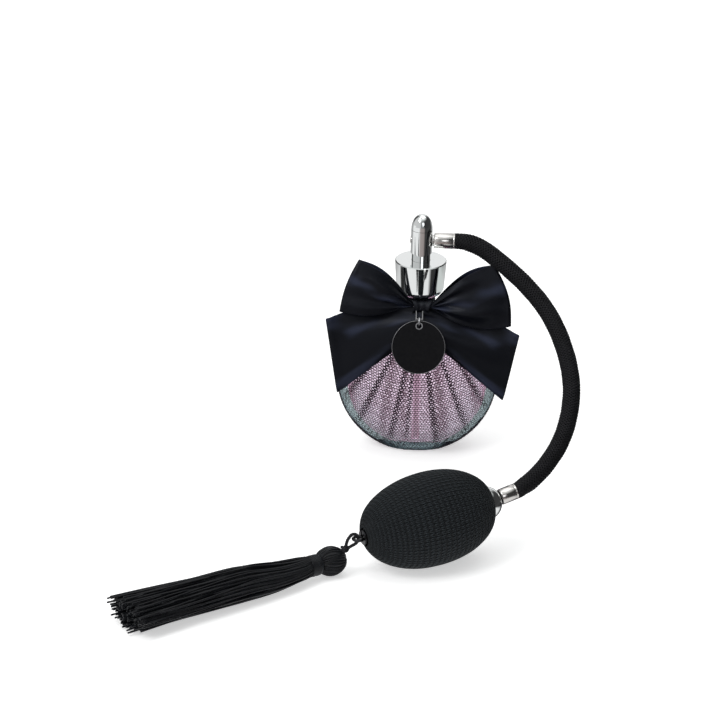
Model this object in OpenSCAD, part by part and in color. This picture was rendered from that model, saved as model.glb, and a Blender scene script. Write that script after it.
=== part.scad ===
// Bulb-atomiser perfume bottle: a round glass flask in a gathered net sock, tied
// with a satin bow, with a sprayer head, a braided hose, a knitted squeeze bulb
// and a tassel. Millimetres, +Z up, origin at the middle of the flask's flat base.

/* [Flask] */
// Diameter of the round flask
body_d = 76; // [66:0.5:88]
// Thickness of the flask, front to back
body_depth = 43; // [36:0.5:50]
// Radius of the flask's rounded rim
rim_r = 12; // [9:0.5:14]
// How much of the flask's rim is ground flat to make its foot
foot_cut = 2.8; // [1.5:0.1:4]
// Glass between the rim and the hollow
rim_wall = 4.6; // [3:0.1:6]
// Glass of the front and back faces
face_wall = 3.2; // [2:0.1:5]
// Glass under the hollow at the foot
floor_wall = 6; // [3:0.1:9]
// Height of the perfume above the foot
fill_h = 60; // [20:1:64]

/* [Neck] */
// Outer diameter of the glass neck
neck_d = 11.4; // [10:0.1:13]
// Diameter over the neck's screw thread
thread_d = 12.8; // [11.4:0.1:14.4]
// Bore of the neck
neck_bore = 6.2; // [5:0.1:7.5]
// Height of the neck above the flask
neck_h = 16.8; // [16:0.1:20]
// Height of one thread ridge
ridge_h = 1.1; // [0.6:0.1:1.4]

/* [Sock] */
// Thickness of the net sock
sock_t = 0.3; // [0.2:0.05:0.6]
// Thickness of the elastic that gathers the sock
elastic_t = 1.2; // [0.8:0.1:1.6]

/* [Ribbon] */
// Thickness of the ribbon where it is tied round the neck
band_t = 1.2; // [0.8:0.1:1.6]
// Height of the tied band
band_h = 3.0; // [2:0.1:3.2]
// Thickness of a tail of the bow
tail_t = 2.0; // [1:0.1:3]
// Thickness of a loop of the bow
loop_t = 6.0; // [4:0.1:8]
// Width of the knot
knot_w = 9.5; // [7:0.1:12]
// Height of the knot
knot_h = 7; // [5:0.1:9]

/* [Tag] */
// Diameter of the hanging tag
tag_d = 25; // [18:0.5:30]
// Thickness of the tag
tag_t = 1.0; // [0.6:0.1:1.6]
// Diameter of the tag's hole
tag_hole_d = 2.4; // [1.8:0.1:3]
// Thickness of the wire that the tag hangs on
tag_wire_d = 0.8; // [0.5:0.1:1]
// Lean of the tag on the flask, in degrees
tag_lean = 24; // [15:1:28]

/* [Collar] */
// Diameter of the collar at its top
collar_d = 24.4; // [22:0.1:27]
// Diameter of the collar where it starts to round in
collar_waist_d = 22.6; // [20:0.1:24]
// Diameter of the collar at its lower edge
collar_foot_d = 16.8; // [16:0.1:19]
// Height of the collar
collar_h = 16.6; // [13:0.1:16.8]
// Sheet thickness of the collar
collar_t = 0.8; // [0.5:0.1:1]
// Radius of the collar's rounded lower part
collar_round = 3.6; // [2:0.1:5]
// Wall of the threaded liner in the collar
liner_wall = 1.0; // [0.8:0.1:1.4]

/* [Sprayer] */
// Diameter of the sealing flange
flange_d = 11; // [9.5:0.1:11.4]
// Thickness of the sealing flange
flange_t = 2; // [1.4:0.1:2.4]
// Thickness of the neck gasket
gasket_t = 1; // [0.6:0.1:1.4]
// Diameter of the dip tube
dip_d = 3; // [2.4:0.1:3.6]
// Bore of the dip tube
dip_bore = 1.8; // [1.2:0.1:2]
// Gap under the dip tube
dip_gap = 2.5; // [1:0.1:6]
// Diameter of the spigot that the head turns on
spigot_d = 4; // [3.4:0.1:4.6]
// Height of the spigot
spigot_h = 5; // [4:0.1:6]

/* [Head] */
// Diameter of the head
head_d = 10.1; // [9:0.1:12]
// Height of the head's straight part
head_h = 11.5; // [10.5:0.1:14]
// Diameter of the head's stem
stem_d = 8.8; // [7.6:0.1:9]
// Height of the stem that shows above the collar
stem_show = 3.8; // [2.5:0.1:6]
// Height of the bullet-shaped finial
finial_h = 7.4; // [6:0.1:10]
// Radius of the finial's tip
tip_r = 1.7; // [1:0.1:2.4]
// Height of the hose branch above the stem
branch_h = 6; // [5.6:0.1:6.6]
// Diameter of the nozzle insert
nozzle_d = 3.4; // [2.6:0.1:4]

/* [Hose] */
// Diameter over the hose's braid
hose_d = 7.6; // [6.4:0.1:8.6]
// Diameter of the rubber tube in the braid
core_d = 5; // [4.4:0.1:5.4]
// Bore of the rubber tube
core_bore = 3; // [2.4:0.1:3.4]
// Diameter of the metal ferrules
ferrule_d = 7.4; // [6.6:0.1:8.4]
// Length of the ferrule at the head
head_ferrule_l = 9.8; // [8.5:0.1:9.8]
// Length of the ferrule at the bulb
bulb_ferrule_l = 8; // [7:0.1:8]

/* [Bulb] */
// Diameter over the bulb's knitted cover
bulb_d = 43; // [36:0.5:46]
// Length of the bulb's tail half
bulb_tail_l = 33.4; // [30:0.1:36]
// Length of the bulb's hose half
bulb_hose_l = 31; // [29.5:0.1:33]
// Thickness of the knitted cover
cover_t = 0.9; // [0.6:0.1:1.4]
// Wall of the rubber bulb
rubber_t = 2; // [1.4:0.1:3]
// Radius of the chrome dome at the hose end
dome_r = 7.8; // [7:0.1:8.6]
// Diameter of a valve ball
ball_d = 2.8; // [2.2:0.1:3]
// Travel of a valve ball
ball_travel = 1; // [0.5:0.1:1.5]

/* [Tassel] */
// Diameter of the tassel's round head
tassel_head_d = 13.6; // [11:0.1:15]
// Diameter of the wrapped throat
wrap_d = 10; // [8:0.1:11]
// Width of the wrapping
wrap_w = 5; // [3:0.1:7]
// Length of the skirt of threads
skirt_l = 98; // [60:1:110]
// Width of the skirt at its end
skirt_w = 33; // [22:1:40]
// Height of the skirt at its end
skirt_h = 10; // [8:0.5:12]
// Diameter of the tassel's hanging cord
loop_cord_d = 1.6; // [1:0.1:1.8]

/* [Hidden] */
$fn = 96;
eps = 0.01;        // overlap of a cut with the face it opens
seat = 0.05;       // radial clearance of a turning or plugged fit
gap = 0.3;         // clearance between soft pieces and what they lie on
thin_gap = 0.1;    // clearance between a skin and what it covers
soft_fn = 20;      // facets of the rounded corners of soft solids

// heights, from the foot up
body_r = body_d / 2;
body_z = body_r - foot_cut;
body_top = body_z + body_r;
neck_top = body_top + neck_h;
flange_z = neck_top + gasket_t;
flange_top = flange_z + flange_t;
collar_top = flange_top + thin_gap * 2 + liner_wall + collar_t;
collar_z = collar_top - collar_h;
head_z = collar_top + stem_show;
head_top = head_z + head_h;
branch_z = head_z + branch_h;
finial_z = head_top + 0.15;
cavity_r = body_r - rim_wall;
cavity_half = body_depth / 2 - face_wall;
cavity_rim = rim_r - rim_wall + 1.2;
hollow_z = floor_wall;
sock_r = neck_d / 2 + thin_gap;
shoulder_z = body_top + 0.6;
band_r = sock_r + sock_t + thin_gap;
band_z = body_top + elastic_t + 0.4;
front = [0, -body_depth / 2, body_top];   // the bow and tag hang from here

// ---- shapes --------------------------------------------------------------

// Half outline of a lens-shaped disc with a rounded rim: x is the radius
function lens_points(r, half, rim, steps = 14) =
    let (face_r = (pow(r - rim, 2) + half * half - rim * rim) / (2 * (half - rim)))
    let (turn = asin((r - rim) / (face_r - rim)))
    concat(
        [for (i = [0:steps]) let (a = turn * i / steps)
            [face_r * sin(a), face_r * cos(a) - face_r + half]],
        [for (i = [1:2 * steps]) let (a = turn + (180 - 2 * turn) * i / (2 * steps + 1))
            [r - rim + rim * sin(a), rim * cos(a)]],
        [for (i = [steps:-1:0]) let (a = turn * i / steps)
            [face_r * sin(a), face_r - half - face_r * cos(a)]]);

module lens(r, half, rim) {
    translate([0, 0, body_z])
        rotate([90, 0, 0])
            rotate_extrude()
                polygon(lens_points(r, half, rim));
}

module above(z) {
    translate([-100, -100, z]) cube([200, 200, 200]);
}

module below(z) {
    translate([-100, -100, z - 200]) cube([200, 200, 200]);
}

module ring(r_out, r_in, h) {
    rotate_extrude()
        translate([r_in, 0])
            square([r_out - r_in, h]);
}

module bead(p, r) {
    translate(p) sphere(r = r, $fn = soft_fn);
}

// The flask with its neck root, grown by t on every side
module flask_shape(t) {
    intersection() {
        lens(body_r + t, body_depth / 2 + t, rim_r + t);
        above(0);
    }
    translate([0, 0, body_top - 6])
        cylinder(h = 6.6, r1 = neck_d / 2 + 3 + t, r2 = neck_d / 2 + t);
}

// ---- sweeps --------------------------------------------------------------

function unit(v) = v / norm(v);
function tangent(path, i) =
    let (last = len(path) - 1)
    unit(path[min(i + 1, last)] - path[max(i - 1, 0)]);

// One ring of a swept tube round point i of the path
function tube_ring(path, i, r, sides, side_hint) =
    let (t = tangent(path, i))
    let (u = unit(cross(side_hint, t)))
    let (v = cross(t, u))
    [for (k = [0:sides - 1]) let (a = 360 * k / sides) path[i] + r * (cos(a) * u + sin(a) * v)];

function wall_faces(rings, sides, base = 0) = [
    for (i = [0:rings - 2], k = [0:sides - 1]) let (n = (k + 1) % sides)
        each [[base + i * sides + k, base + (i + 1) * sides + k, base + i * sides + n],
            [base + i * sides + n, base + (i + 1) * sides + k, base + (i + 1) * sides + n]]];
function flipped(faces) = [for (f = faces) [f[2], f[1], f[0]]];

// A hollow tube swept along a path
module hollow_tube(path, r, bore_r, sides, side_hint) {
    rings = len(path);
    inner = rings * sides;
    points = concat(
        [for (i = [0:rings - 1]) each tube_ring(path, i, r, sides, side_hint)],
        [for (i = [0:rings - 1]) each tube_ring(path, i, bore_r, sides, side_hint)]);
    starts = [for (k = [0:sides - 1]) let (n = (k + 1) % sides)
        each [[k, n, inner + k], [n, inner + n, inner + k]]];
    last = (rings - 1) * sides;
    ends = [for (k = [0:sides - 1]) let (n = (k + 1) % sides)
        each [[last + k, last + inner + k, last + n], [last + n, last + inner + k, last + inner + n]]];
    polyhedron(points, concat(wall_faces(rings, sides),
        flipped(wall_faces(rings, sides, inner)), starts, ends));
}

// A solid rod swept along a path
module rod(path, r, sides, side_hint) {
    rings = len(path);
    points = [for (i = [0:rings - 1]) each tube_ring(path, i, r, sides, side_hint)];
    last = (rings - 1) * sides;
    caps = [for (k = [1:sides - 2]) each [[0, k, k + 1], [last, last + k + 1, last + k]]];
    polyhedron(points, concat(wall_faces(rings, sides), caps));
}

// ---- flask ---------------------------------------------------------------

module hollow_shape(inset) {
    intersection() {
        lens(cavity_r - inset, cavity_half - inset, cavity_rim - inset);
        above(hollow_z + inset);
    }
}

// Half outline of the neck with its thread ridges
ridge_pitch = 2.6;
neck_points = concat(
    [[0, body_top - 1], [neck_d / 2, body_top - 1]],
    [for (i = [2:-1:0]) let (z = neck_top - 1 - ridge_h - i * ridge_pitch)
        each [[neck_d / 2, z], [thread_d / 2, z], [thread_d / 2, z + ridge_h], [neck_d / 2, z + ridge_h]]],
    [[neck_d / 2, neck_top], [0, neck_top]]);

module glass_bottle() {
    color([0.75, 0.88, 0.88, 0.35])
        difference() {
            union() {
                flask_shape(0);
                rotate_extrude() polygon(neck_points);
            }
            hollow_shape(0);
            translate([0, 0, body_z + cavity_r - 6]) cylinder(h = neck_h + rim_wall + 7, d = neck_bore);
        }
}

module perfume_fill() {
    color([0.86, 0.62, 0.72, 0.8])
        difference() {
            intersection() {
                hollow_shape(thin_gap);
                below(fill_h);
            }
            translate([0, 0, dip_foot - 1]) cylinder(h = body_d, d = dip_d + 2 * gap);
        }
}

module mesh_sock() {
    sock_top = band_z + band_h;
    color([0.08, 0.08, 0.09, 0.8])
        difference() {
            union() {
                flask_shape(thin_gap + sock_t);
                translate([0, 0, body_top - 1])
                    cylinder(h = sock_top - body_top + 1, r = sock_r + sock_t);
            }
            flask_shape(thin_gap);
            cylinder(h = neck_top, r = sock_r);
            below(sock_t);
        }
}

module sock_elastic() {
    color([0.05, 0.05, 0.06])
        translate([0, 0, shoulder_z + 0.1])
            ring(band_r + elastic_t, sock_r + sock_t + seat, elastic_t - 0.2);
}

// ---- ribbon --------------------------------------------------------------

module neck_ribbon() {
    color([0.10, 0.11, 0.13])
        translate([0, 0, band_z + thin_gap])
            ring(band_r + band_t, band_r, band_h);
}

knot_y = -(band_r + band_t + 3.6);
knot_z = band_z + band_h / 2 - 1.2;
module bow_knot() {
    color([0.12, 0.13, 0.16])
        translate([1, knot_y, knot_z])
            hull() {
                for (x = [-1, 1], z = [-1, 1])
                    bead([x * (knot_w / 2 - 1.6), 0, z * (knot_h / 2 - 1.8)], 1.7);
            }
}

// A loop of the bow, from the knot to corners measured from the flask's front
loop_root = knot_w / 2 + 3.45;
module bow_loop(side, corners) {
    hull() {
        bead([1 + side * loop_root, knot_y, knot_z - 0.1], loop_t / 2);
        for (p = corners)
            bead(front + p, loop_t / 2);
    }
}

module bow_loop_left() {
    color([0.10, 0.11, 0.13])
        bow_loop(-1, [[-26, 11.5, 17.8], [-33, 6.5, 6.8], [-22, 2.5, -2.2]]);
}

module bow_loop_right() {
    color([0.10, 0.11, 0.13])
        bow_loop(1, [[31, 11.5, 17.8], [39, 5.5, 0.8], [26, 1.5, -3.2]]);
}

// A tail of the bow, lying over the flask's shoulder, by corners from its front
module bow_tail(corners) {
    hull()
        for (p = corners)
            bead(front + p, tail_t / 2);
}

module bow_tail_left() {
    color([0.10, 0.11, 0.13])
        bow_tail([[-5, 5.5, -5.2], [-41, 5.5, -8.2], [-42, 4.5, -15.2], [-36.5, 3.5, -37.2],
            [-25, 2.5, -30.2], [-12, 2.3, -16.2]]);
}

module bow_tail_right() {
    color([0.10, 0.11, 0.13])
        bow_tail([[6, 5.5, -5.2], [45, 4.5, -11.2], [41, 4, -35.2], [38.5, 3.5, -40.7],
            [24, 2.5, -29.2], [13, 2.3, -17.2]]);
}

// ---- tag -----------------------------------------------------------------

tag_hole_up = 10;          // hole above the tag's middle
ring_r = 2;                // jump ring, at the middle of its wire
tag_pivot_y = front[1] + 4.1;
tag_pivot_z = front[2] - 1.6;
pivot_up = 2 * ring_r - tag_wire_d - seat;   // pivot above the tag's hole

module at_tag() {
    translate([0, tag_pivot_y, tag_pivot_z])
        rotate([90 - tag_lean, 0, 0])
            translate([0, -pivot_up, 0])
                children();
}

// A wire staple that comes out of the knot, with the bar that the ring hangs on
module tag_hanger() {
    leg_x = 1.5;
    bar = [0, tag_pivot_y, tag_pivot_z];
    root = [0, knot_y - 2.2, knot_z - 1];
    color("silver") {
        translate(bar - [leg_x, 0, 0])
            rotate([0, 90, 0])
                cylinder(h = 2 * leg_x, d = tag_wire_d, $fn = 24);
        for (x = [-leg_x, leg_x])
            hull() {
                bead(bar + [x, 0, 0], tag_wire_d / 2);
                bead(root + [x, 0, 0], tag_wire_d / 2);
            }
    }
}

module tag_ring() {
    color("silver")
        at_tag()
            translate([0, ring_r, 0])
                rotate([0, 90, 0])
                    rotate_extrude()
                        translate([ring_r, 0]) circle(d = tag_wire_d, $fn = 24);
}

module tag_disc() {
    color([0.03, 0.03, 0.03])
        at_tag()
            translate([0, -tag_hole_up, -tag_t / 2])
                difference() {
                    cylinder(h = tag_t, d = tag_d);
                    translate([0, tag_hole_up, -1])
                        cylinder(h = tag_t + 2, d = tag_hole_d + 2 * 0.5, $fn = 32);
                }
}

module tag_eyelet() {
    color("silver")
        at_tag()
            translate([0, 0, -tag_t / 2 - 0.1])
                ring(tag_hole_d / 2 + 0.5, tag_hole_d / 2, tag_t + 0.2);
}

// ---- sprayer -------------------------------------------------------------

plug_r = neck_bore / 2 - seat;
plug_l = 9;
channel_d = 1.6;
dip_foot = floor_wall + dip_gap;

module neck_gasket() {
    color([0.15, 0.15, 0.15])
        translate([0, 0, neck_top])
            ring(flange_d / 2, plug_r + seat, gasket_t);
}

module sprayer_plug() {
    color([0.92, 0.92, 0.90])
        difference() {
            union() {
                translate([0, 0, neck_top - plug_l]) cylinder(h = plug_l + gasket_t, r = plug_r);
                translate([0, 0, flange_z]) cylinder(h = flange_t, d = flange_d);
                translate([0, 0, flange_top - eps]) cylinder(h = spigot_h, d = spigot_d);
            }
            translate([0, 0, neck_top - plug_l - 1]) cylinder(h = 40, d = channel_d);
            translate([0, 0, neck_top - plug_l - 1]) cylinder(h = 7, d = dip_d);
        }
}

module dip_tube() {
    color([0.95, 0.95, 0.95, 0.6])
        translate([0, 0, dip_foot])
            ring(dip_d / 2, dip_bore / 2, neck_top - plug_l + 6 - dip_foot);
}

// ---- collar --------------------------------------------------------------

// Outline of the collar's outside, from its lower edge up, inset by t
function collar_side(t) = concat(
    [for (i = [0:8]) let (a = 90 * i / 8)
        [collar_foot_d / 2 - t + (collar_waist_d - collar_foot_d) / 2 * sin(a),
            collar_z + collar_round * (1 - cos(a))]],
    [[collar_d / 2 - t, collar_top - 0.4], [collar_d / 2 - t - 0.4, collar_top]]);

module collar_shell() {
    color([0.85, 0.86, 0.88])
        difference() {
            rotate_extrude()
                polygon(concat([[0, collar_z]], collar_side(0), [[0, collar_top]]));
            difference() {
                rotate_extrude()
                    polygon(concat([[0, collar_z - eps], [collar_foot_d / 2 - collar_t, collar_z - eps]],
                        collar_side(collar_t), [[0, collar_top]]));
                above(collar_top - collar_t);
            }
            cylinder(h = collar_top + 1, d = stem_d + 4 * seat);
        }
}

module collar_liner() {
    liner_r = thread_d / 2 + thin_gap;
    liner_z = collar_z + 0.6;
    liner_top = collar_top - collar_t;
    color([0.2, 0.2, 0.2])
        difference() {
            union() {
                translate([0, 0, liner_z])
                    cylinder(h = liner_top - liner_z, r = liner_r + liner_wall);
                translate([0, 0, liner_top - liner_wall])
                    cylinder(h = liner_wall, d = collar_d - 2 * collar_t - 0.8);
            }
            translate([0, 0, collar_z])
                cylinder(h = flange_top + thin_gap * 2 - collar_z, r = liner_r);
            cylinder(h = collar_top + 1, d = stem_d + 4 * seat);
        }
}

// ---- head ----------------------------------------------------------------

socket_d = 6;
socket_h = 3;
nipple_root = 2.9;
module head_body() {
    color([0.82, 0.82, 0.84])
        difference() {
            union() {
                translate([0, 0, flange_top + thin_gap]) cylinder(h = head_z - flange_top, d = stem_d);
                translate([0, 0, head_z]) cylinder(h = head_h, d = head_d);
            }
            translate([0, 0, flange_top - 1]) cylinder(h = spigot_h + 1.2, d = spigot_d + 2 * seat);
            cylinder(h = branch_z, d = channel_d);
            translate([0, 0, head_top - socket_h]) cylinder(h = socket_h + 1, d = socket_d);
            translate([0, 0, branch_z]) rotate([0, 90, 0]) cylinder(h = head_d, d = nipple_root);
            translate([0, 0, branch_z]) rotate([0, -90, 0]) cylinder(h = head_d, d = channel_d);
            translate([-head_d / 2 + 2, 0, branch_z])
                rotate([0, -90, 0]) cylinder(h = head_d, d = nozzle_d);
        }
}

// Half outline of the bullet-shaped finial
function bullet(r, h, tip) = [
    for (i = [0:16]) let (a = 90 * i / 16)
        [tip * cos(a) + (r - tip) * pow(cos(a), 0.85), (h - tip) * sin(a) + tip * sin(a)]];

module head_finial() {
    color([0.82, 0.82, 0.84]) {
        translate([0, 0, finial_z])
            rotate_extrude()
                polygon(concat([[0, 0]], bullet(head_d / 2, finial_h, tip_r)));
        translate([0, 0, head_top - socket_h + 0.3])
            cylinder(h = finial_z - head_top + socket_h - 0.3 + eps, r = socket_d / 2 - seat);
    }
}

module nozzle_insert() {
    color([0.6, 0.6, 0.6])
        translate([-head_d / 2 + 2, 0, branch_z])
            rotate([0, -90, 0])
                difference() {
                    cylinder(h = 2.3, d = nozzle_d - seat);
                    translate([0, 0, -1]) cylinder(h = 4, d = 0.6, $fn = 24);
                }
}

nipple_neck_d = 5.4;
ferrule_x = head_d / 2 + 0.9;
module hose_nipple() {
    barb_l = 7;
    color([0.7, 0.7, 0.7])
        translate([0, 0, branch_z])
            rotate([0, 90, 0])
                difference() {
                    union() {
                        translate([0, 0, 1.4]) cylinder(h = ferrule_x, d = nipple_root - seat);
                        translate([0, 0, head_d / 2 + 0.02])
                            cylinder(h = ferrule_x - head_d / 2 - 0.02, d = nipple_neck_d);
                        translate([0, 0, ferrule_x - eps]) cylinder(h = barb_l, d = core_bore);
                    }
                    translate([0, 0, -1]) cylinder(h = 30, d = channel_d);
                }
}

module ferrule(l) {
    color([0.78, 0.77, 0.76])
        difference() {
            cylinder(h = l, d = ferrule_d);
            translate([0, 0, -1]) cylinder(h = l + 2, d = core_d + 2 * seat);
        }
}

module head_ferrule() {
    translate([ferrule_x, 0, branch_z])
        rotate([0, 90, 0])
            ferrule(head_ferrule_l);
}

// ---- hose ----------------------------------------------------------------

// Middle line of the braided hose, from the head's ferrule to the bulb's
hose_route = [
    [21, -0.4, 104.6], [26, -2, 103.6], [31.5, -5, 101.5], [37, -9, 98.7],
    [42.5, -13.5, 95.7], [48, -18.4, 92.4], [53, -23.6, 88.9], [57.5, -29, 85.2],
    [61.3, -34.8, 81.2], [64.5, -41, 77], [67, -47.2, 72.8], [69, -53.5, 68.4],
    [70.3, -60, 64], [70.9, -66.5, 59.6], [70.6, -73, 55.2], [69.6, -79.5, 50.8],
    [67.8, -86, 46.4], [65, -92.5, 42], [61.3, -98.6, 38], [57, -104.4, 34.4],
    [52.5, -109.3, 31.6], [49, -112.3, 30]];
hose_side = [0, -0.56, 0.83];

// Bulb and hose end: where they lie
bulb_c = [6.4, -133.8, 22.1];
bulb_plan = 26;
bulb_tilt = 6;
nipple_tilt = 13;
dome_x = 28.2;
function along(plan, tilt) = [cos(tilt) * cos(plan), cos(tilt) * sin(plan), sin(tilt)];
dome_c = bulb_c + dome_x * along(bulb_plan, bulb_tilt);
hose_end_s = dome_r + bulb_ferrule_l;
hose_end = dome_c + hose_end_s * along(bulb_plan, nipple_tilt);
hose_start = [ferrule_x + head_ferrule_l, 0, branch_z];
hose_out = [1, 0, 0];
hose_in = along(bulb_plan, nipple_tilt);
straight = 1.4;            // straight stretch of hose at each ferrule
core_root = 0.4;           // core stops this far inside the ferrules
free_path = concat([hose_start + straight * hose_out], hose_route, [hose_end + straight * hose_in]);
braid_path = concat([hose_start + 0.02 * hose_out], free_path, [hose_end + 0.02 * hose_in]);
core_path = concat([[ferrule_x + core_root, 0, branch_z], hose_start], free_path,
    [hose_end, hose_end - (bulb_ferrule_l - core_root) * hose_in]);
tube_sides = 12;
function round_bore(r) = r / cos(180 / tube_sides);

module hose_braid() {
    color([0.06, 0.06, 0.07])
        hollow_tube(braid_path, hose_d / 2, round_bore(core_d / 2) + thin_gap, tube_sides, hose_side);
}

module hose_core() {
    color([0.2, 0.2, 0.2])
        hollow_tube(core_path, core_d / 2, round_bore(core_bore / 2) + seat, tube_sides, hose_side);
}

// ---- bulb ----------------------------------------------------------------

module at_bulb() {
    translate(bulb_c)
        rotate([0, 90 - bulb_tilt, bulb_plan])
            children();
}

module at_nipple() {
    translate(dome_c)
        rotate([0, 90 - nipple_tilt, bulb_plan])
            children();
}

// Half outline of the bulb: z runs from its tail to its hose end
function bulb_outline(r, tail, nose, end_r) = concat(
    [for (i = [0:14]) let (a = -90 + 90 * i / 14)
        [max(end_r, r * pow(cos(a), 0.92)), tail * sin(a)]],
    [for (i = [1:14]) let (a = 90 * i / 14)
        [max(end_r, r * pow(cos(a), 0.8)), nose * sin(a)]]);

module bulb_shape(inset, end_r) {
    rotate_extrude()
        polygon(concat([[0, -bulb_tail_l + inset]],
            bulb_outline(bulb_d / 2 - inset, bulb_tail_l - inset, bulb_hose_l - inset, end_r),
            [[0, bulb_hose_l - inset]]));
}

valve_r = 3.4;
nose_cut = bulb_hose_l - 1.4;
tail_cut = -bulb_tail_l + 0.5;
module bulb_cover() {
    color([0.09, 0.10, 0.10])
        at_bulb()
            difference() {
                bulb_shape(0, 1);
                bulb_shape(cover_t, 0.5);
                translate([0, 0, nose_cut]) cylinder(h = 20, r = 40);
                translate([0, 0, -50]) cylinder(h = 50, r = valve_r + thin_gap);
                translate([0, 0, tail_cut - 20]) cylinder(h = 20, r = 40);
            }
}

module rubber_bulb() {
    color([0.12, 0.12, 0.12])
        at_bulb()
            difference() {
                bulb_shape(cover_t + thin_gap, 0.5);
                bulb_shape(cover_t + rubber_t, 0.2);
                translate([0, 0, nose_cut]) cylinder(h = 20, r = 40);
                cylinder(h = 50, r = valve_r);
                translate([0, 0, -50]) cylinder(h = 50, r = valve_r);
                translate([0, 0, tail_cut + 0.6 - 20]) cylinder(h = 20, r = 40);
            }
}

module dome_cup() {
    color([0.8, 0.8, 0.8])
        at_bulb()
            translate([0, 0, dome_x])
                difference() {
                    sphere(r = dome_r);
                    sphere(r = dome_r - 1);
                    translate([0, 0, nose_cut + 0.05 - dome_x - 20]) cylinder(h = 20, r = 20);
                    rotate([0, bulb_tilt - nipple_tilt, 0]) cylinder(h = 20, r = core_bore / 2 + 0.2);
                }
}

// A tube with a ball chamber: the ball shuts the far end of it
chamber_r = ball_d / 2 + 0.15;
chamber_l = ball_d + ball_travel + 0.1;
module valve_body(l, chamber_z) {
    difference() {
        cylinder(h = l, r = valve_r - seat / 2);
        translate([0, 0, -1]) cylinder(h = l + 2, d = channel_d);
        translate([0, 0, chamber_z - chamber_l / 2]) cylinder(h = chamber_l, r = chamber_r);
    }
}

outlet_l = 10;
outlet_z = nose_cut - outlet_l + 3;
module outlet_valve_body() {
    color([0.85, 0.7, 0.4])
        at_bulb()
            translate([0, 0, outlet_z])
                valve_body(outlet_l, outlet_l / 2);
}

module outlet_valve_ball() {
    color("silver")
        at_bulb()
            translate([0, 0, outlet_z + outlet_l / 2 - ball_travel / 2]) sphere(d = ball_d);
}

module bulb_nipple() {
    color([0.7, 0.7, 0.7])
        at_nipple()
            difference() {
                union() {
                    translate([0, 0, dome_r - 2.9]) cylinder(h = 8.3, d = core_bore);
                    translate([0, 0, dome_r - 2.9]) cylinder(h = 1, d = nipple_neck_d);
                }
                translate([0, 0, -1]) cylinder(h = 30, d = channel_d);
            }
}

module bulb_ferrule() {
    at_nipple()
        translate([0, 0, dome_r + 0.02])
            ferrule(bulb_ferrule_l - 0.02);
}

// The tail valve, with the eye that the tassel hangs from
inlet_l = 10;
inlet_z = -bulb_tail_l - 0.6;
eye_r = 2.2;
eye_wire = 0.7;
eye_s = bulb_tail_l + 2.6;
eye_c = bulb_c - eye_s * along(bulb_plan, bulb_tilt);
module inlet_valve_body() {
    color([0.85, 0.7, 0.4]) {
        difference() {
            at_bulb() translate([0, 0, inlet_z]) valve_body(inlet_l, inlet_l / 2 + 1);
            translate(eye_c) cylinder(h = 20, r = eye_r, center = true);
        }
        translate(eye_c)
            rotate_extrude()
                translate([eye_r, 0])
                    circle(r = eye_wire, $fn = 24);
    }
}

module inlet_valve_ball() {
    color("silver")
        at_bulb()
            translate([0, 0, inlet_z + inlet_l / 2 + 1 - ball_travel / 2]) sphere(d = ball_d);
}

// ---- tassel --------------------------------------------------------------

tassel_turn = 35;
tassel_h = tassel_head_d / 2 + 0.2;
tassel_c = [-37.9, -149.8, tassel_h];
knot_r = 1.9;

module at_tassel() {
    translate(tassel_c)
        rotate([0, -90, tassel_turn])
            children();
}

// The hanging cord goes up from the tassel's knot, through the eye and back
eye_to_head = tassel_c - eye_c;
loop_out = unit([eye_to_head[0], eye_to_head[1], 0]);
loop_side = [-loop_out[1], loop_out[0], 0];
function in_loop(h, z) = eye_c + h * loop_out + [0, 0, z];
cord_r = loop_cord_d / 2;
loop_knot = in_loop(norm([eye_to_head[0], eye_to_head[1]]) - 6.1, tassel_c[2] - eye_c[2] + 6.2);
loop_in = [0, eye_r + eye_wire + cord_r + 0.3];
loop_path = [loop_knot + [0.4, 0, 0.2], in_loop(4.9, -1.2), in_loop(loop_in[1], 0.6), in_loop(3.0, 1.9),
    in_loop(1.7, 2.3), in_loop(0.4, 1.6), in_loop(loop_in[0], 0), in_loop(0.7, -2.0),
    in_loop(2.9, -3.6), loop_knot + [0.2, 0, -0.4]];

module tassel_loop() {
    color([0.07, 0.07, 0.08])
        rod(loop_path, cord_r, 8, loop_side);
}

module tassel_knot() {
    color([0.07, 0.07, 0.08])
        translate(loop_knot) sphere(r = knot_r);
}

module tassel_head() {
    color([0.07, 0.07, 0.08])
        at_tassel()
            rotate_extrude()
                polygon([for (i = [0:24]) let (a = -90 + 180 * i / 24)
                    [tassel_head_d / 2 * cos(a), (tassel_head_d / 2 + 0.9) * sin(a)]]);
}

wrap_s = tassel_head_d / 2 + 0.4;
module tassel_wrap() {
    color([0.05, 0.05, 0.06])
        at_tassel()
            translate([0, 0, wrap_s])
                difference() {
                    cylinder(h = wrap_w, d = wrap_d);
                    translate([0, 0, -wrap_s])
                        rotate_extrude()
                            polygon([for (i = [0:24]) let (a = -90 + 180 * i / 24)
                                [(tassel_head_d / 2 + 0.05) * cos(a), (tassel_head_d / 2 + 0.95) * sin(a)]]);
                }
}

// The skirt widens and flattens towards its end, and lies on the table
module skirt_section(s, w, h) {
    translate([-(tassel_h - h / 2 - 0.05), 0, s])
        linear_extrude(0.4)
            hull()
                for (y = [-1, 1])
                    translate([0, y * (w - h) / 2]) circle(d = h, $fn = 24);
}

module tassel_skirt() {
    skirt_s = wrap_s + wrap_w;
    color([0.06, 0.06, 0.07])
        at_tassel()
            hull() {
                translate([0, 0, skirt_s + 0.02]) cylinder(h = 0.4, d = wrap_d - 0.6, $fn = 32);
                skirt_section(skirt_s + skirt_l * 0.45, skirt_w * 0.72, skirt_h + 2);
                skirt_section(skirt_s + skirt_l - 0.4, skirt_w, skirt_h);
            }
}

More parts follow.
